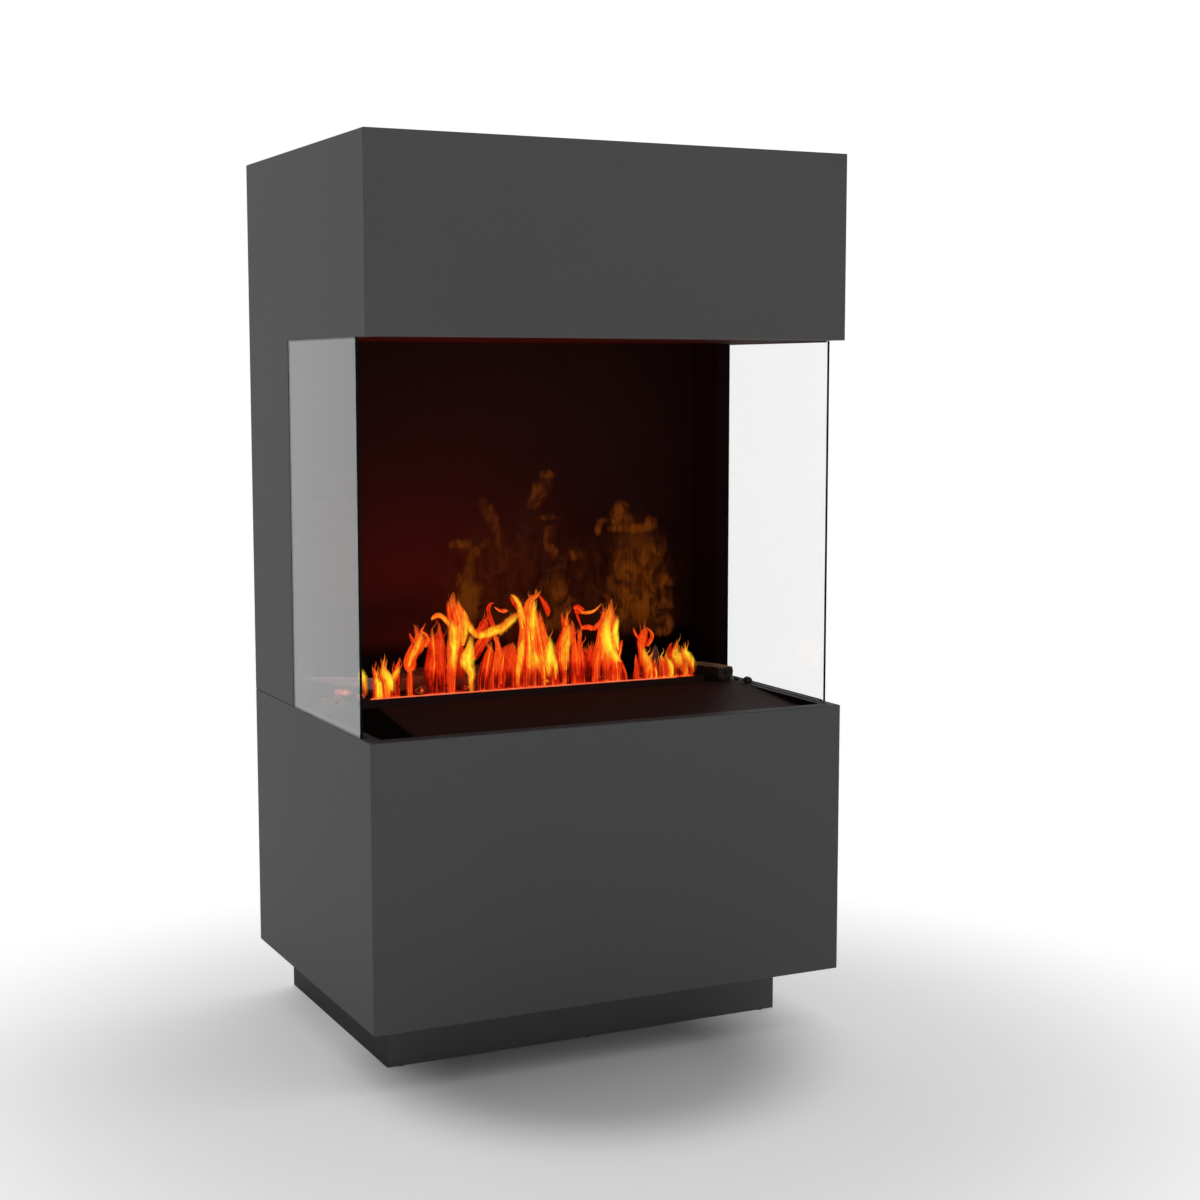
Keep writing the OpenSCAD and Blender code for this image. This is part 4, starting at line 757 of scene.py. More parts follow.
for v in split_shape.verts:
    if v.co.z > 0.001:
        grain = noise.noise(Vector((v.co.x * 260, v.co.y * 260, v.co.z * 30)))
        v.co.x += split_grain * grain
        v.co.y -= split_grain * grain
split_shape.to_mesh(split_log.data)
split_shape.free()
hold(split_log, "cut", [1.0] * len(split_log.data.vertices))
settle(split_log, (split_x, wall_y - split_wall, floor_top))
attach(split_log, "cabinet")
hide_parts("logs_back")


# Charcoal: loose lumps of cast charcoal laid on the rim, at the left end and in a row behind the
# burner, each broken into flat facets with fine cracks. The lumps next to the fire carry a painted
# ember glow in their cracks.
charcoal_skin = Finish("cast_charcoal")
coal_grain = charcoal_skin.noise(charcoal_skin.place(), 160.0, 5.0, 0.7)
coal_cracks = charcoal_skin.node(
    "ShaderNodeTexVoronoi",
    {"Vector": charcoal_skin.place(), "Scale": 95.0},
    feature="DISTANCE_TO_EDGE",
)
coal_lines = charcoal_skin.between(coal_cracks, 0.07, 0.0)
ember_from_y = 0.03
ember_full_y = 0.045
coal_near = charcoal_skin.axis("Y")
coal_glow = coal_lines * charcoal_skin.between(coal_grain, 0.42, 0.62)
coal_glow = coal_glow * charcoal_skin.between(coal_near, ember_from_y, ember_full_y)
charcoal_skin.feed(
    base_color=charcoal_skin.tint(coal_grain, (0.006, 0.005, 0.005), (0.03, 0.027, 0.025)),
    roughness=0.45 + 0.4 * coal_grain,
    normal=charcoal_skin.bump(coal_grain - coal_lines, 0.8, 0.0012),
    emission_color=charcoal_skin.tint(coal_glow, (0.0, 0.0, 0.0), (1.0, 0.1, 0.01)),
    emission_strength=1.6,
)


facets = 9
facet_depth = 0.84
lump_length = 1.22
lump_height = 0.8


def lump(shape, place, radius, turn, seed):
    """Adds a broken lump to a mesh under way: a ball cut to flat facets, stretched, flat below."""
    made = bmesh.ops.create_icosphere(shape, subdivisions=4, radius=1.0)
    under = radius * 0.6
    spin = Matrix.Rotation(math.radians(turn), 3, "Z")
    cuts = []
    for k in range(facets):
        way = (math.sin(2.4 * k + seed), math.cos(1.7 * k + 2 * seed), math.sin(3.1 * k - seed))
        cuts.append(Vector(way).normalized())
    for v in made["verts"]:
        n = v.co.normalized()
        facet = min(facet_depth / max(n.dot(cut), facet_depth) for cut in cuts)
        size = radius * facet * (1.04 + 0.12 * noise.noise(n * 3.5 + Vector((seed, 0.0, 0.0))))
        spot = Vector((n.x * lump_length, n.y, n.z * lump_height)) * size
        spot.z = max(spot.z, -under) + under
        v.co = Vector(place) + spin @ spot


lump_r = 0.010
rim_lump_r = 0.0078
slot_low, slot_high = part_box("led_lenses")
slot_l = slot_high.x - slot_low.x
floor_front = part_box("firebox_floor")[0].y
row_n = 11
coals = bmesh.new()
lump(coals, (inner_x + 1.15 * rim_lump_r, floor_front - 2 * rim_lump_r, rim_z), rim_lump_r, 90, 1.0)
lump(coals, (inner_x + 0.9 * rim_lump_r, floor_front + 2.4 * rim_lump_r, rim_z), 0.5 * rim_lump_r, 40, 1.7)
lump(coals, (-inner_x + 1.4 * lump_r, floor_front + 1.2 * lump_r, floor_top), 0.9 * lump_r, 10, 2.6)
left_middle = Vector((left_x, left_y, floor_top))
lump(coals, left_middle + Vector((-2.6, -3.8, 0.0)) * lump_r, lump_r, 50, 3.5)
lump(coals, left_middle + Vector((-4.7, -5.4, 0.0)) * lump_r, 1.1 * lump_r, 80, 4.5)
row_x0 = -slot_l / 2 + 7.2 * lump_r
row_pitch = (slot_l - 12.6 * lump_r) / (row_n - 1)
row_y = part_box("burner_cover")[1].y + 1.4 * lump_r
row_stray_x = 0.006
row_stray_y = 0.002
for i in range(row_n):
    x = row_x0 + row_pitch * i + row_stray_x * math.sin(math.radians(100 * i))
    y = row_y + row_stray_y * math.sin(math.radians(70 * i))
    size = lump_r * (0.9 + 0.15 * math.sin(math.radians(140 * i)))
    lump(coals, (x, y, floor_top), size, 53 * i, 5.0 + i)
charcoal_mesh = bpy.data.meshes.new("charcoal_lumps")
coals.to_mesh(charcoal_mesh)
coals.free()
charcoal_mesh.materials.append(charcoal_skin.material)
charcoal_lumps = bpy.data.objects.new("charcoal_lumps", charcoal_mesh)
bpy.context.scene.collection.objects.link(charcoal_lumps)
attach(charcoal_lumps, "cabinet")
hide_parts("charcoal")


# Flames: orange lamp light caught on rising water vapour, in thin tongues over the mist slot. Each
# tongue is a flat curl of mist, soft at its edges, streaked along its flow and yellow where densest.
# A thin red sheet stands behind them, and a bright core in front of the hottest.
burner_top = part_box("burner_cover")[1].z
burner_y = middle_of("led_lenses")[1]


def lit_mist(finish, colour, thickness, strength=1.0):
    """Mist gives off the colour of the lamps' light in it, and has no surface of its own."""
    finish.feed(
        base_color=(0.0, 0.0, 0.0),
        roughness=1.0,
        specular_ior_level=0.0,
        emission_color=colour,
        emission_strength=strength,
        alpha=thickness,
    )


def flame_finish(name, soft, strength=1.0, solid=1.0, glowing=False):
    """Lit mist: the marks edge, rise and glow and the UV map, in metres of flow, shape it."""
    light = Finish(name)
    edge = light.mark("edge")
    rise = light.mark("rise")
    glow = light.mark("glow")
    height = light.axis("Z") - burner_top
    flow = light.node("ShaderNodeUVMap", uv_map="flow")
    along = light.node("ShaderNodeVectorMath", {0: flow, 1: (125.0, 11.0, 1.0)}, operation="MULTIPLY")
    streak = light.noise(along, 1.0, 2.0, 0.5, 0.5)
    mottle = light.noise(light.place(95.0, 60.0, 44.0), 1.0, 4.0, 0.6, 0.7)
    comb = light.noise(light.place(78.0, 10.0, 7.0), 1.0, 1.0)
    lace = light.noise(light.place(210.0, 90.0, 130.0), 1.0, 3.0, 0.6, 1.4)
    torn = light.between(rise, 0.35, 0.85) * (lace - 0.5)
    roots = light.between(height, 0.05, 0.01)
    gaps = roots * light.between(comb, 0.56, 0.45) * light.between(height, 0.001, 0.005)
    warmth = glow * 0.62 + edge * 0.2 + (streak - 0.5) * 0.5 + (mottle - 0.5) * 0.8
    warmth = warmth - roots * 0.12 - gaps * 0.3
    colour = light.ramp(
        warmth,
        (0.0, (0.1, 0.002, 0.001)),
        (0.12, (0.4, 0.006, 0.001)),
        (0.25, (0.66, 0.022, 0.003)),
        (0.4, (0.8, 0.05, 0.006)),
        (0.54, (0.88, 0.11, 0.009)),
        (0.68, (0.94, 0.24, 0.012)),
        (0.82, (0.97, 0.5, 0.018)),
        (1.0, (1.0, 0.88, 0.04)),
    )
    dense = edge + (mottle - 0.5) * 0.7 + (streak - 0.5) * 0.35 + torn * 1.6
    body = light.between(dense, 0.02, 0.02 + soft)
    if glowing:
        tips = light.between(rise + (mottle - 0.5) * 0.3, 1.0, 0.55) * light.between(rise, 0.0, 0.3)
    else:
        tips = light.between(rise + (mottle - 0.5) * 0.5, 1.02, 0.72)
    lit_mist(
        light,
        light.tint(light.between(rise, 0.7, 1.0) * 0.55, colour, (0.36, 0.09, 0.012)),
        body * tips * (1.0 - gaps * 0.75) * (1.0 - roots * (1.0 - solid)),
        strength,
    )
    return light


def smooth_line(points, steps):
    """Catmull-Rom curve through tuples of numbers, with so many steps from one to the next."""
    ends = [points[0], *points, points[-1]]
    line = []
    for i in range(1, len(ends) - 2):
        a, b, c, d = (Vector(p) for p in ends[i - 1 : i + 3])
        for s in range(steps):
            t = s / steps
            spot = 2 * b + (c - a) * t + (2 * a - 5 * b + 4 * c - d) * t * t
            line.append(0.5 * (spot + (3 * b - a - 3 * c + d) * t**3))
    line.append(Vector(points[-1]))
    return line


class Mist:
    """Collects curls of lit mist, and makes one piece of them."""

    def __init__(self, columns):
        self.columns = columns
        self.points = []
        self.faces = []
        self.values = {"edge": [], "rise": [], "glow": []}
        self.flow = []

    def curl(self, middle, glow, depth, sway=0.0, steps=7, plump=3.5, flow_seed=0.0):
        """A curl along middle, a list of (x, height, half width) in millimetres over the burner."""
        slimmest = 0.25
        line = smooth_line(middle, steps)
        spread = max(spot[2] for spot in middle)
        travelled = 0.0
        ring = 2 * self.columns
        first = len(self.points)
        for i, spot in enumerate(line):
            after = line[min(i + 1, len(line) - 1)]
            before = line[max(i - 1, 0)]
            way = Vector((after.x - before.x, after.y - before.y))
            way = way.normalized() if way.length > 1e-6 else Vector((0.0, 1.0))
            side = Vector((way.y, -way.x))
            width = max(spot.z, slimmest)
            travelled += Vector((spot.x - before.x, spot.y - before.y)).length / 2
            rise = i / (len(line) - 1)
            back = depth + sway * math.sin(2.2 * rise + flow_seed)
            for j in range(ring):
                front = j < self.columns
                t = -1 + 2 * (j if front else ring - j) / self.columns
                thick = min(0.3 * width, plump) * (1 - t * t) * (-1 if front else 1)
                x = (spot.x + side.x * width * t) * MM
                z = burner_top + (spot.y + side.y * width * t) * MM
                self.points.append(Vector((x, burner_y + (back + thick) * MM, z)))
                self.values["edge"].append(1 - abs(t))
                self.values["rise"].append(rise)
                self.values["glow"].append(glow)
                self.flow.append((spread * t * MM + flow_seed * 0.37, travelled * MM + flow_seed * 0.61))
        for i in range(len(line) - 1):
            a, b = first + i * ring, first + (i + 1) * ring
            for j in range(ring):
                k = (j + 1) % ring
                self.faces.append((a + j, a + k, b + k, b + j))
        last = first + (len(line) - 1) * ring
        self.faces.append(tuple(first + ring - 1 - j for j in range(ring)))
        self.faces.append(tuple(last + j for j in range(ring)))

    def piece(self, name, finish):
        made = mesh_piece(name, self.points, self.faces, finish)
        for title, numbers in self.values.items():
            hold(made, title, numbers)
        flow = made.data.uv_layers.new(name="flow")
        for loop in made.data.loops:
            flow.data[loop.index].uv = self.flow[loop.vertex_index]
        made.visible_shadow = False
        made.visible_glossy = False
        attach(made, "cabinet")


# The body of the fire behind the tongues: low, wide, plain red sheets of mist, left open where the
# logs and the dark show between the flames.
sheets = Mist(columns=10)
sheet_table = [
    [(-262, -4, 23), (-262, 20, 22), (-264, 38, 10), (-266, 46, 1)],
    [(-176, -4, 21), (-175, 34, 19), (-172, 70, 13), (-170, 98, 1)],
    [(-140, -4, 20), (-140, 34, 18), (-140, 80, 14), (-140, 112, 1)],
    [(-82, -4, 22), (-80, 30, 20), (-78, 56, 13), (-76, 70, 1)],
    [(-50, -4, 26), (-50, 34, 24), (-46, 60, 18), (-42, 76, 1)],
    [(-10, -4, 30), (-8, 40, 27), (-6, 80, 19), (-6, 112, 1)],
    [(40, -4, 26), (40, 26, 24), (38, 46, 16), (36, 62, 1)],
    [(84, -4, 26), (84, 24, 24), (90, 44, 17), (94, 60, 1)],
    [(128, -4, 28), (130, 34, 24), (134, 70, 12), (134, 94, 1)],
    [(152, -4, 16), (152, 16, 13), (151, 32, 8), (150, 44, 1)],
    [(205, -4, 25), (205, 12, 20), (205, 24, 9), (205, 34, 1)],
    [(246, -4, 16), (246, 10, 14), (246, 22, 6)],
    [(276, -4, 20), (276, 18, 17), (276, 34, 8), (276, 44, 1)],
]
for seed, middle in enumerate(sheet_table):
    sheets.curl(middle, 0.26, depth=7.0, sway=1.5, flow_seed=21.0 + 0.61 * seed)
sheets.piece("flame_sheets", flame_finish("lit_mist_sheets", 0.5, strength=0.85, solid=0.5))

# The tongues in front of it, from left to right. A row is a tongue's middle line with its half
# widths, how hot it looks, from a red 0.2 to a yellow 1.1, and its depth behind the slot's middle.
tongues = Mist(columns=8)
tongue_table = [
    # sliver at the far left and the low forked flame beside it, with its bright streaks
    ([(-300, 6, 3), (-300, 22, 4), (-302, 38, 4), (-304, 52, 1)], 1.4, -2),
    ([(-277, -2, 5), (-277, 12, 6), (-278, 24, 5), (-279, 34, 1)], 1.25, -5),
    ([(-276, -4, 10), (-276, 14, 11), (-277, 30, 9), (-280, 42, 4), (-283, 51, 1)], 0.55, 1),
    ([(-262, -4, 14), (-262, 16, 16), (-264, 34, 12), (-267, 48, 5), (-268, 62, 1)], 0.72, 0),
    ([(-248, -4, 8), (-248, 16, 9), (-247, 34, 8), (-243, 50, 4), (-239, 65, 1)], 0.5, -1),
    ([(-280, -2, 6), (-280, 14, 6.5), (-281, 28, 5), (-283, 40, 1)], 1.35, -4),
    ([(-248, 6, 2), (-255, 18, 5.5), (-263, 31, 7), (-269, 43, 5), (-272, 54, 1)], 1.35, -6),
    ([(-259, 24, 1.5), (-253, 32, 4.5), (-246, 42, 3), (-242, 53, 1)], 1.15, -5),
    # root and detached curl with its horns
    ([(-221, -4, 8), (-221, 16, 8.5), (-221, 34, 6.5), (-222, 52, 1)], 0.5, 0),
    ([(-221, 41, 6), (-223, 51, 12), (-221, 62, 12), (-213, 75, 13), (-206, 87, 13), (-207, 97, 7),
      (-211, 106, 3), (-212, 117, 1)], 0.5, -3),
    ([(-214, 84, 5), (-219, 94, 3), (-223, 104, 1)], 0.3, -4),
    ([(-198, 80, 4), (-192, 90, 3.5), (-195, 99, 3), (-203, 105, 2.6), (-200, 110, 2),
      (-194, 121, 1)], 0.45, -5),
    ([(-226, 50, 2), (-221, 66, 3.5), (-214, 80, 4), (-207, 96, 3), (-204, 106, 1)], 0.85, -7),
    # red flame
    ([(-192, -4, 10), (-190, 20, 10), (-187, 46, 11), (-183, 72, 9), (-182, 94, 5),
      (-183, 112, 1)], 0.3, 1),
    ([(-172, -4, 13), (-172, 26, 14), (-172, 54, 14), (-171, 80, 11), (-170, 100, 6),
      (-171, 117, 1)], 0.2, 0),
    ([(-187, 0, 3), (-184, 30, 3.4), (-181, 60, 3), (-182, 88, 2), (-183, 102, 1)], 0.55, -3),
    ([(-166, 0, 3), (-168, 30, 3), (-170, 56, 2.5), (-172, 80, 1)], 0.45, -3),
    # curled wisp and the tall orange flame that it leaves
    ([(-185, 123, 1), (-179, 128, 4), (-171, 129, 5), (-162, 123, 4.5), (-154, 114, 4),
      (-149, 104, 2)], 0.78, -4),
    ([(-150, -4, 7), (-150, 22, 9), (-148, 46, 11), (-145, 70, 13), (-139, 94, 16), (-138, 116, 17),
      (-143, 134, 13), (-146, 150, 8), (-144, 166, 1)], 0.62, 0),
    ([(-152, 120, 4), (-154, 134, 3.4), (-155, 144, 2.4), (-155, 154, 1)], 0.35, -2),
    ([(-128, 104, 6), (-128, 122, 6), (-134, 138, 4.5), (-140, 152, 2)], 0.7, -3),
    ([(-148, 36, 3), (-149, 62, 5.5), (-149, 86, 6.5), (-151, 108, 5), (-153, 124, 1.5)], 1.1, -5),
    ([(-132, 78, 3), (-131, 98, 5.5), (-130, 114, 4.5), (-132, 130, 1.5)], 1.0, -5),
    # bright yellow flame in front of it
    ([(-119, -4, 4), (-119, 16, 4.5), (-120, 32, 6), (-126, 48, 9.5), (-126, 60, 10), (-122, 74, 6),
      (-120, 86, 4), (-121, 98, 1)], 1.25, -9),
    # arm across to the middle, its red hump, the red curl above it and the loose scrap beside that
    ([(-130, 134, 2), (-122, 111, 4.5), (-109, 95, 5.5), (-92, 95, 6), (-79, 99, 7), (-64, 103, 7),
      (-47, 115, 6), (-35, 124, 4), (-28, 127, 1)], 1.0, -7),
    ([(-112, 98, 3), (-98, 102, 8), (-92, 111, 8), (-88, 121, 1)], 0.2, -4),
    ([(-74, 92, 3), (-77, 105, 3.8), (-83, 122, 3.6), (-86, 136, 3), (-80, 144, 2.4),
      (-74, 144, 1)], 0.25, -5),
    ([(-75, 138, 1), (-66, 132, 2.6), (-57, 131, 3.6), (-49, 131, 1)], 0.5, -8),
    # red and orange body under the arm
    ([(-112, 52, 3), (-106, 62, 8), (-98, 74, 10), (-88, 85, 9), (-80, 93, 5), (-75, 100, 1)], 0.32, 1),
    ([(-96, -4, 9), (-94, 16, 10), (-89, 36, 11), (-84, 56, 10), (-81, 70, 5), (-79, 80, 1)], 0.45, 0),
    ([(-72, -4, 12), (-71, 20, 13), (-68, 44, 12), (-66, 60, 9), (-68, 74, 5), (-74, 92, 4),
      (-76, 99, 1)], 0.5, -2),
    ([(-46, -4, 13), (-46, 22, 14), (-44, 46, 13), (-42, 62, 10), (-38, 78, 1)], 0.38, 0),
    ([(-64, 10, 3), (-63, 30, 4), (-60, 48, 3), (-58, 64, 1)], 0.72, -4),
    # tall flame in the middle, its wisp to the left and its hook to the right
    ([(-30, -4, 11), (-29, 22, 10), (-26, 46, 10), (-22, 76, 10), (-18, 104, 9), (-16, 124, 7),
      (-12, 140, 6), (-7, 150, 3), (-4, 157, 1)], 0.6, 0),
    ([(-10, -4, 12), (-9, 24, 12), (-8, 52, 13), (-8, 80, 13), (-8, 108, 12), (-8, 130, 9),
      (-5, 146, 6), (4, 153, 4), (10, 152, 1.5)], 0.72, -2),
    ([(12, -4, 12), (12, 22, 12), (10, 48, 13), (6, 76, 14), (2, 100, 12), (-2, 122, 8),
      (-4, 142, 2)], 0.62, -3),
    ([(33, -4, 10), (30, 22, 10), (26, 46, 9), (20, 68, 8), (14, 90, 7), (10, 112, 4),
      (8, 128, 1)], 0.58, -1),
    ([(-24, 100, 5), (-27, 120, 5), (-30, 136, 4.2), (-36, 148, 3.4), (-42, 155, 2.4),
      (-47, 158, 1)], 0.85, -4),
    ([(-30, 128, 1), (-37, 138, 2.6), (-43, 148, 2.6), (-46, 155, 1)], 0.1, -2),
    ([(6, 153, 2), (12, 145, 4), (18, 134, 5.4), (22, 124, 5), (20, 116, 1)], 0.2, -4),
    ([(22, 10, 2), (21, 28, 4.5), (19, 44, 6.5), (20, 60, 7.5), (23, 74, 4), (22, 88, 1)], 1.25, -8),
    ([(33, 12, 1.5), (32, 30, 3.4), (29, 46, 4), (25, 62, 2)], 1.15, -8),
    ([(10, 14, 1), (7, 26, 3.4), (1, 40, 4.4), (-4, 54, 3.4), (-6, 68, 1)], 1.1, -6),
    ([(-8, 80, 4), (-8, 100, 7), (-8, 118, 7), (-6, 134, 4.5), (-1, 147, 2.5)], 0.98, -6),
    ([(-36, 10, 2), (-33, 34, 3.4), (-29, 60, 4), (-27, 78, 2.6), (-26, 94, 1)], 0.95, -6),
    ([(5, 9, 1), (12, 11, 2.2), (20, 10, 2.2), (28, 10, 1)], 0.95, -9),
    # pair of pointed flames right of the middle
    ([(50, -4, 10), (50, 22, 10), (50, 46, 12), (51, 68, 11), (55, 88, 8), (56, 102, 6), (58, 114, 3),
      (60, 125, 1)], 0.55, 0),
    ([(52, 98, 3), (50, 108, 2.6), (48, 122, 1)], 0.35, -1),
    ([(40, 54, 6), (44, 70, 6), (50, 86, 4), (53, 100, 1)], 0.16, 2),
    ([(52, 26, 4), (52, 54, 5), (55, 78, 5.5), (58, 94, 3), (60, 106, 1)], 0.9, -4),
    ([(73, -4, 10), (73, 24, 10), (72, 50, 8), (70, 76, 6), (69, 94, 5), (69, 111, 1)], 0.32, 0),
    ([(86, -4, 9), (85, 24, 9), (83, 48, 7), (82, 68, 5), (82, 84, 3.8), (84, 97, 1)], 0.42, -2),
    ([(76, 16, 2.4), (75, 40, 3.4), (73, 64, 3), (71, 86, 1)], 0.7, -5),
    # red lump and strand looped over the gap, and the band below them
    ([(70, 128, 1), (74, 130, 5.4), (80, 126, 6.4), (87, 121, 4.4), (94, 120, 2)], 0.25, -3),
    ([(84, 121, 2.6), (92, 120, 3), (103, 121, 3), (112, 126, 2.4), (121, 135, 1)], 0.78, -5),
    ([(74, 124, 1.4), (80, 106, 1.8), (87, 91, 1.8)], 0.2, -2),
    ([(83, 95, 3), (95, 96, 5), (107, 93, 5), (118, 103, 4.6), (127, 113, 1)], 0.42, -5),
    ([(100, -4, 14), (99, 20, 14), (98, 40, 13), (100, 54, 9), (103, 64, 1)], 0.22, 1),
    # tall flame on the right with its yellow core
    ([(112, -4, 10), (113, 22, 11), (116, 46, 11), (120, 68, 9), (122, 88, 7), (124, 104, 5),
      (127, 120, 2.6), (125, 134, 1)], 0.5, 0),
    ([(132, -4, 12), (132, 24, 13), (131, 48, 14), (131, 72, 14), (133, 94, 13), (136, 112, 10),
      (140, 126, 6), (142, 142, 1)], 0.66, -2),
    ([(152, -4, 10), (150, 20, 10), (147, 44, 10), (145, 66, 8), (146, 88, 6), (147, 104, 4.4),
      (144, 122, 2)], 0.58, -3),
    ([(155, 34, 1), (147, 40, 5), (139, 50, 7), (133, 64, 9), (129, 80, 8), (127, 94, 5.6),
      (130, 108, 3.4), (134, 120, 1)], 1.25, -8),
    ([(150, 54, 2), (146, 70, 3.8), (144, 86, 3.8), (147, 102, 2.8), (149, 114, 1)], 1.2, -8),
    ([(152, 44, 5), (155, 56, 5), (158, 64, 3.4), (160, 71, 1)], 0.42, -4),
    ([(166, -2, 5), (164, 12, 6), (158, 28, 6), (152, 42, 3)], 0.36, -2),
    # curl on a narrow neck, and the blurred glow at its foot
    ([(192, -2, 11), (194, 14, 10), (197, 30, 8), (198, 44, 7), (198, 56, 8), (200, 68, 10.5),
      (203, 78, 9), (205, 86, 5), (203, 93, 1)], 0.5, 0),
    ([(197, 66, 3), (190, 73, 2.8), (185, 81, 2.8), (182, 91, 1)], 0.25, -2),
    ([(206, 58, 3), (213, 66, 4), (217, 75, 3.4), (213, 84, 2.4), (206, 89, 1)], 0.35, -3),
    ([(186, 0, 5), (187, 18, 4), (188, 32, 3), (188, 44, 1)], 0.48, -2),
    ([(203, 6, 3), (203, 22, 5.4), (202, 36, 4.4), (200, 48, 2.4), (200, 58, 1)], 1.15, -6),
    ([(214, -2, 12), (215, 12, 12), (214, 24, 9), (210, 36, 5), (208, 46, 1)], 0.75, -1),
    ([(225, 0, 8), (225, 12, 8), (221, 24, 3)], 0.8, -2),
    # yellow flames at the right end
    ([(238, -2, 9), (238, 14, 9), (237, 28, 6), (233, 41, 1)], 0.9, -2),
    ([(250, -2, 8), (250, 12, 8.5), (247, 26, 6), (241, 37, 1)], 1.2, -4),
    ([(262, -2, 10), (262, 14, 11), (261, 30, 9), (262, 44, 6), (266, 54, 3.4), (269, 61, 1)], 0.75, 0),
    ([(280, -2, 12), (280, 14, 13), (279, 28, 10), (277, 38, 5), (281, 46, 3.4), (287, 51, 1)], 0.78, -2),
    ([(291, -2, 6), (292, 12, 6), (291, 26, 5), (290, 39, 1)], 0.55, -3),
    ([(256, 24, 2), (251, 34, 3.6), (249, 44, 3.6), (253, 54, 2.8), (258, 60, 1)], 0.2, -3),
    ([(288, 2, 3), (278, 14, 6), (267, 27, 7), (262, 42, 6), (267, 57, 1.5)], 1.35, -7),
    ([(293, 6, 4), (290, 20, 7), (284, 34, 6.5), (279, 44, 3.5), (282, 52, 1)], 1.35, -8),
]


strands_per_mm = 0.65
frayed_from = 7

# A streak's frayed end: how far it follows the end's turn, how far it rises and its half width.
frayed_end = [(0.0, 0, 0.9), (1.0, 5, 1.1), (1.5, 10, 0.8), (1.0, 15, 0.5)]


def run_strands(mist, middle, glow, depth, dice):
    """Thin streaks inside one tongue, that stand apart at its foot and fray out in curled ends."""
    line = smooth_line(middle, 3)
    widest = max(spot.z for spot in line)
    count = max(2, round(widest * strands_per_mm))
    for k in range(count):
        t = (2 * k + dice.uniform(0.5, 1.5)) / count - 1
        last = round((len(line) - 1) * dice.uniform(0.6, 1.0 - 0.2 * abs(t)))
        drift = dice.uniform(-0.3, 0.3)
        share = dice.uniform(0.5, 1.1) * 1.25 / count
        path = []
        for i, spot in enumerate(line[: last + 1]):
            u = i / last
            before, after = line[max(i - 1, 0)], line[min(i + 1, len(line) - 1)]
            way = Vector((after.x - before.x, after.y - before.y)).normalized()
            aside = spot.z * max(-1.0, min(1.0, 0.9 * t + drift * math.sin(3.0 * u + 9.0 * drift)))
            half = max(spot.z * share * (1 - 0.8 * u**3), 0.4)
            path.append((spot.x + way.y * aside, spot.y - way.x * aside, half))
        if widest > frayed_from:
            x, height = path.pop()[:2]
            turn = dice.uniform(-5, 5)
            path += [(x + follow * turn, height + up, thin) for follow, up, thin in frayed_end]
        heat = glow + 0.5 * (0.4 - abs(t)) + dice.uniform(-0.32, 0.3)
        back = depth + dice.uniform(-1, 1)
        mist.curl(path, heat, depth=back, steps=2, plump=1.2, flow_seed=depth + 3.1 * k)


# A hot tongue is a bright core in front of a body that glows no more than its neighbours.
hot_from = 0.84
hot_body = 0.55
core_share = 1.5
core_spread = 1.0
strand_limit = 0.9
cores = Mist(columns=10)
strands = Mist(columns=2)
strand_dice = random.Random(31)
for seed, (middle, glow, depth) in enumerate(tongue_table):
    hot = glow > hot_from
    tongues.curl(middle, hot_body if hot else glow, depth=depth + 3.0, sway=1.5, flow_seed=0.73 * seed)
    run_strands(strands, middle, min(glow, strand_limit), depth, strand_dice)
    if hot:
        wide = [(x, height, half * core_share + core_spread) for x, height, half in middle]
        cores.curl(wide, glow, depth=depth - 1.0, sway=1.5, flow_seed=0.73 * seed)
tongues.piece("flame_tongues", flame_finish("lit_mist_tongues", 0.45, strength=1.08, solid=0.55))
strands.piece("flame_strands", flame_finish("lit_mist_strands", 0.8, strength=1.15))
cores.piece("flame_cores", flame_finish("lit_mist_cores", 1.0, glowing=True))

# Where the mist leaves the slot it rolls over the cover's front lip in one bright thin line.
roll = Mist(columns=4)
roll_line = [(-292, 0.5, 1.5), (-150, 0.5, 1.7), (0, 0.5, 1.7), (150, 0.5, 1.7), (262, 0.5, 1.2)]
roll.curl(roll_line, 0.6, depth=-7.0)
roll_light = Finish("lit_mist_roll")
roll_spots = roll_light.noise(roll_light.place(60.0, 1.0, 1.0), 1.0, 2.0)
roll_colour = roll_light.tint(roll_spots, (0.9, 0.06, 0.02), (1.0, 0.24, 0.11))
lit_mist(roll_light, roll_colour, 0.75 + 0.25 * roll_spots)
roll.piece("mist_roll", roll_light)


# Mist: above the fire the vapour that has lost its colour drifts up the firebox in faint brown wisps,
# torn and threaded by the air, in front of the black wall. The mark glow says how thick it is.
haze = Finish("lit_vapour")
haze_edge = haze.mark("edge")
haze_rise = haze.mark("rise")
haze_thickness = haze.mark("glow")
curls = haze.noise(haze.place(46.0, 20.0, 24.0), 1.0, 5.0, 0.62, 1.3)
threads = haze.noise(haze.place(190.0, 40.0, 24.0), 1.0, 3.0, 0.6, 0.9)
clump = haze.between(curls * 0.75 + threads * 0.25, 0.3, 0.68)
haze_body = haze.between(haze_edge + (curls - 0.5) * 1.1 + (threads - 0.5) * 0.8, 0.1, 0.95)
haze_body = haze_body * (clump * 0.8 + 0.2)
haze_ends = haze.between(haze_rise + (curls - 0.5) * 0.6, 1.05, 0.6) * haze.between(haze_rise, 0.0, 0.25)
haze_colour = haze.tint(haze.between(clump, 0.2, 0.8), (0.055, 0.011, 0.0015), (0.125, 0.027, 0.0025))
lit_mist(haze, haze_colour, haze_body * haze_ends * haze_thickness)

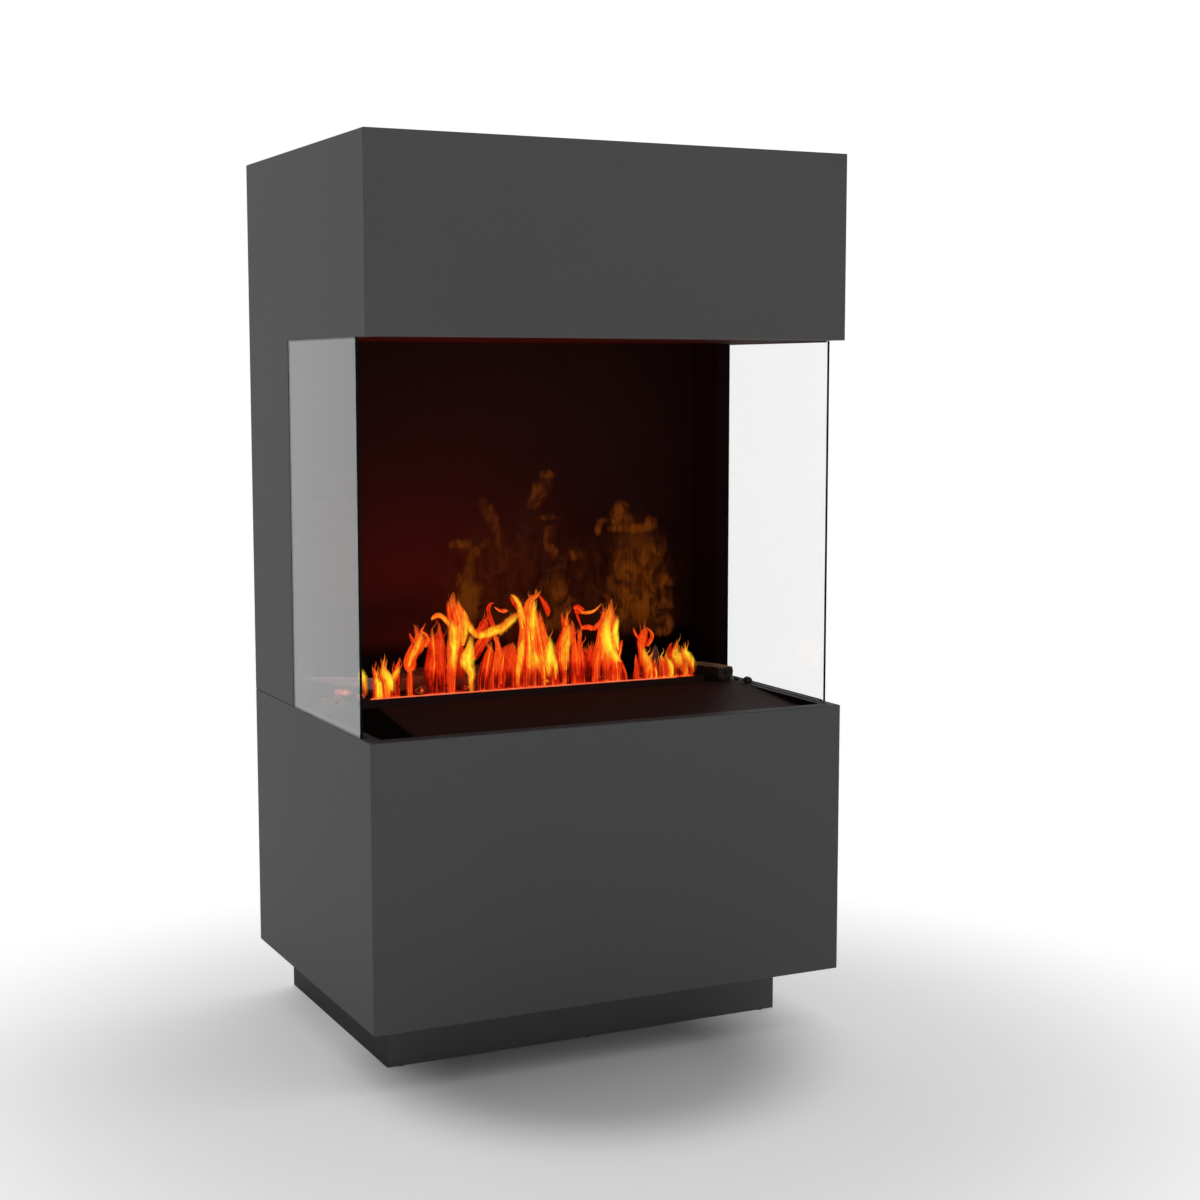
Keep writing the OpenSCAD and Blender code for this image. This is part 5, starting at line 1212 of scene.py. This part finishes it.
wisps = Mist(columns=8)
wisp_table = [
    ([(-98, 96, 21), (-102, 131, 21), (-105, 167, 18), (-105, 190, 12), (-106, 209, 11),
      (-113, 238, 9)], 0.75, 1),
    ([(-139, 241, 3), (-122, 239, 5), (-104, 239, 5), (-92, 240, 2)], 0.8, 2),
    ([(-101, 205, 6), (-92, 222, 7), (-74, 234, 7), (-58, 250, 3)], 0.6, 2),
    ([(-34, 222, 6), (-39, 246, 9), (-51, 270, 10), (-64, 290, 10), (-74, 308, 11), (-76, 321, 3)], 0.5, 4),
    ([(6, 292, 4), (19, 305, 12), (30, 323, 13), (39, 339, 10), (44, 351, 4)], 0.62, 5),
    ([(26, 351, 3), (40, 351, 5), (59, 351, 3)], 0.6, 6),
    ([(26, 280, 2), (44, 279, 4.5), (66, 279, 2)], 0.5, 4),
    ([(53, 276, 4), (47, 260, 7), (40, 237, 7), (51, 223, 7), (66, 206, 9), (64, 190, 6)], 0.5, 3),
    ([(56, 76, 34), (56, 116, 34), (56, 143, 31), (54, 167, 27), (55, 190, 9)], 0.72, 0),
    ([(64, 190, 10), (80, 209, 8), (95, 213, 7), (114, 214, 3)], 0.5, 2),
    ([(215, 70, 54), (213, 108, 55), (211, 139, 52), (211, 170, 46), (209, 204, 42), (207, 238, 38),
      (205, 258, 28)], 0.85, 0),
    ([(182, 250, 19), (177, 276, 19), (175, 293, 13), (171, 307, 3)], 0.8, 2),
    ([(238, 250, 10), (234, 266, 10), (226, 277, 3)], 0.7, 2),
    ([(148, 257, 2), (181, 256, 5), (211, 255, 6), (249, 255, 3)], 0.95, 3),
    ([(136, 243, 2), (136, 257, 4.5), (145, 269, 4.5), (160, 271, 1.5)], 0.75, 3),
    ([(237, 228, 8), (249, 213, 6.5), (252, 204, 2)], 0.7, 2),
    ([(250, 174, 8), (268, 163, 8), (283, 154, 2)], 0.75, 2),
    ([(250, 121, 8), (268, 123, 6.5), (279, 112, 2)], 0.65, 2),
    ([(245, 76, 5), (267, 75, 6), (272, 92, 5), (267, 108, 2)], 0.8, 2),
    # the thin haze that they stand in
    ([(-90, 50, 62), (-95, 130, 66), (-70, 220, 56), (-45, 300, 26)], 0.09, 8),
    ([(10, 50, 66), (10, 140, 78), (10, 240, 60), (16, 330, 28)], 0.1, 9),
    ([(112, 50, 60), (112, 140, 60), (114, 210, 40), (118, 260, 14)], 0.08, 10),
    ([(210, 50, 70), (212, 150, 78), (206, 240, 60), (200, 300, 18)], 0.1, 11),
]
wisp_share = 1.45
wisp_spread = 3.0
wisp_depth = 40.0
for seed, (middle, thickness, depth) in enumerate(wisp_table):
    wide = [(x, height, half * wisp_share + wisp_spread) for x, height, half in middle]
    back = depth + wisp_depth
    wisps.curl(wide, thickness, depth=back, sway=4.0, plump=4.0, flow_seed=5.1 + 0.9 * seed)
wisps.piece("vapour_wisps", haze)


# Fire light: what the lamps throw through the mist on the firebox, as soft warm lamps that the camera
# doesn't see, one toward the back wall, one up to the soffit and one down on the deck.
fire_middle = (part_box("led_lenses")[0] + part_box("led_lenses")[1]) / 2


def soft_lamp(name, place, target, width, height, power, colour):
    """A soft lamp, placed and aimed from the fire's middle, that camera, glass and gloss don't show."""
    place = fire_middle + Vector(place)
    target = fire_middle + Vector(target)
    lamp = bpy.data.lights.new(name, "AREA")
    lamp.shape = "RECTANGLE"
    lamp.size = width
    lamp.size_y = height
    lamp.energy = power
    lamp.color = colour
    stand = bpy.data.objects.new(name, lamp)
    stand.location = place
    stand.rotation_euler = (target - place).to_track_quat("-Z", "Y").to_euler()
    stand.visible_camera = False
    stand.visible_transmission = False
    stand.visible_glossy = False
    bpy.context.scene.collection.objects.link(stand)


soft_lamp(
    "fire_on_wall",
    place=(-0.06, 0.01, 0.05),
    target=(-0.06, 0.3, 0.14),
    width=0.36,
    height=0.08,
    power=1.25,
    colour=(1.0, 0.12, 0.03),
)
soft_lamp(
    "fire_on_soffit",
    place=(-0.12, 0.0, 0.12),
    target=(-0.14, -0.08, 0.8),
    width=0.3,
    height=0.05,
    power=2.0,
    colour=(1.0, 0.07, 0.02),
)
soft_lamp(
    "fire_on_deck",
    place=(0.02, -0.02, 0.08),
    target=(0.02, -0.14, 0.0),
    width=0.5,
    height=0.06,
    power=0.2,
    colour=(1.0, 0.2, 0.06),
)
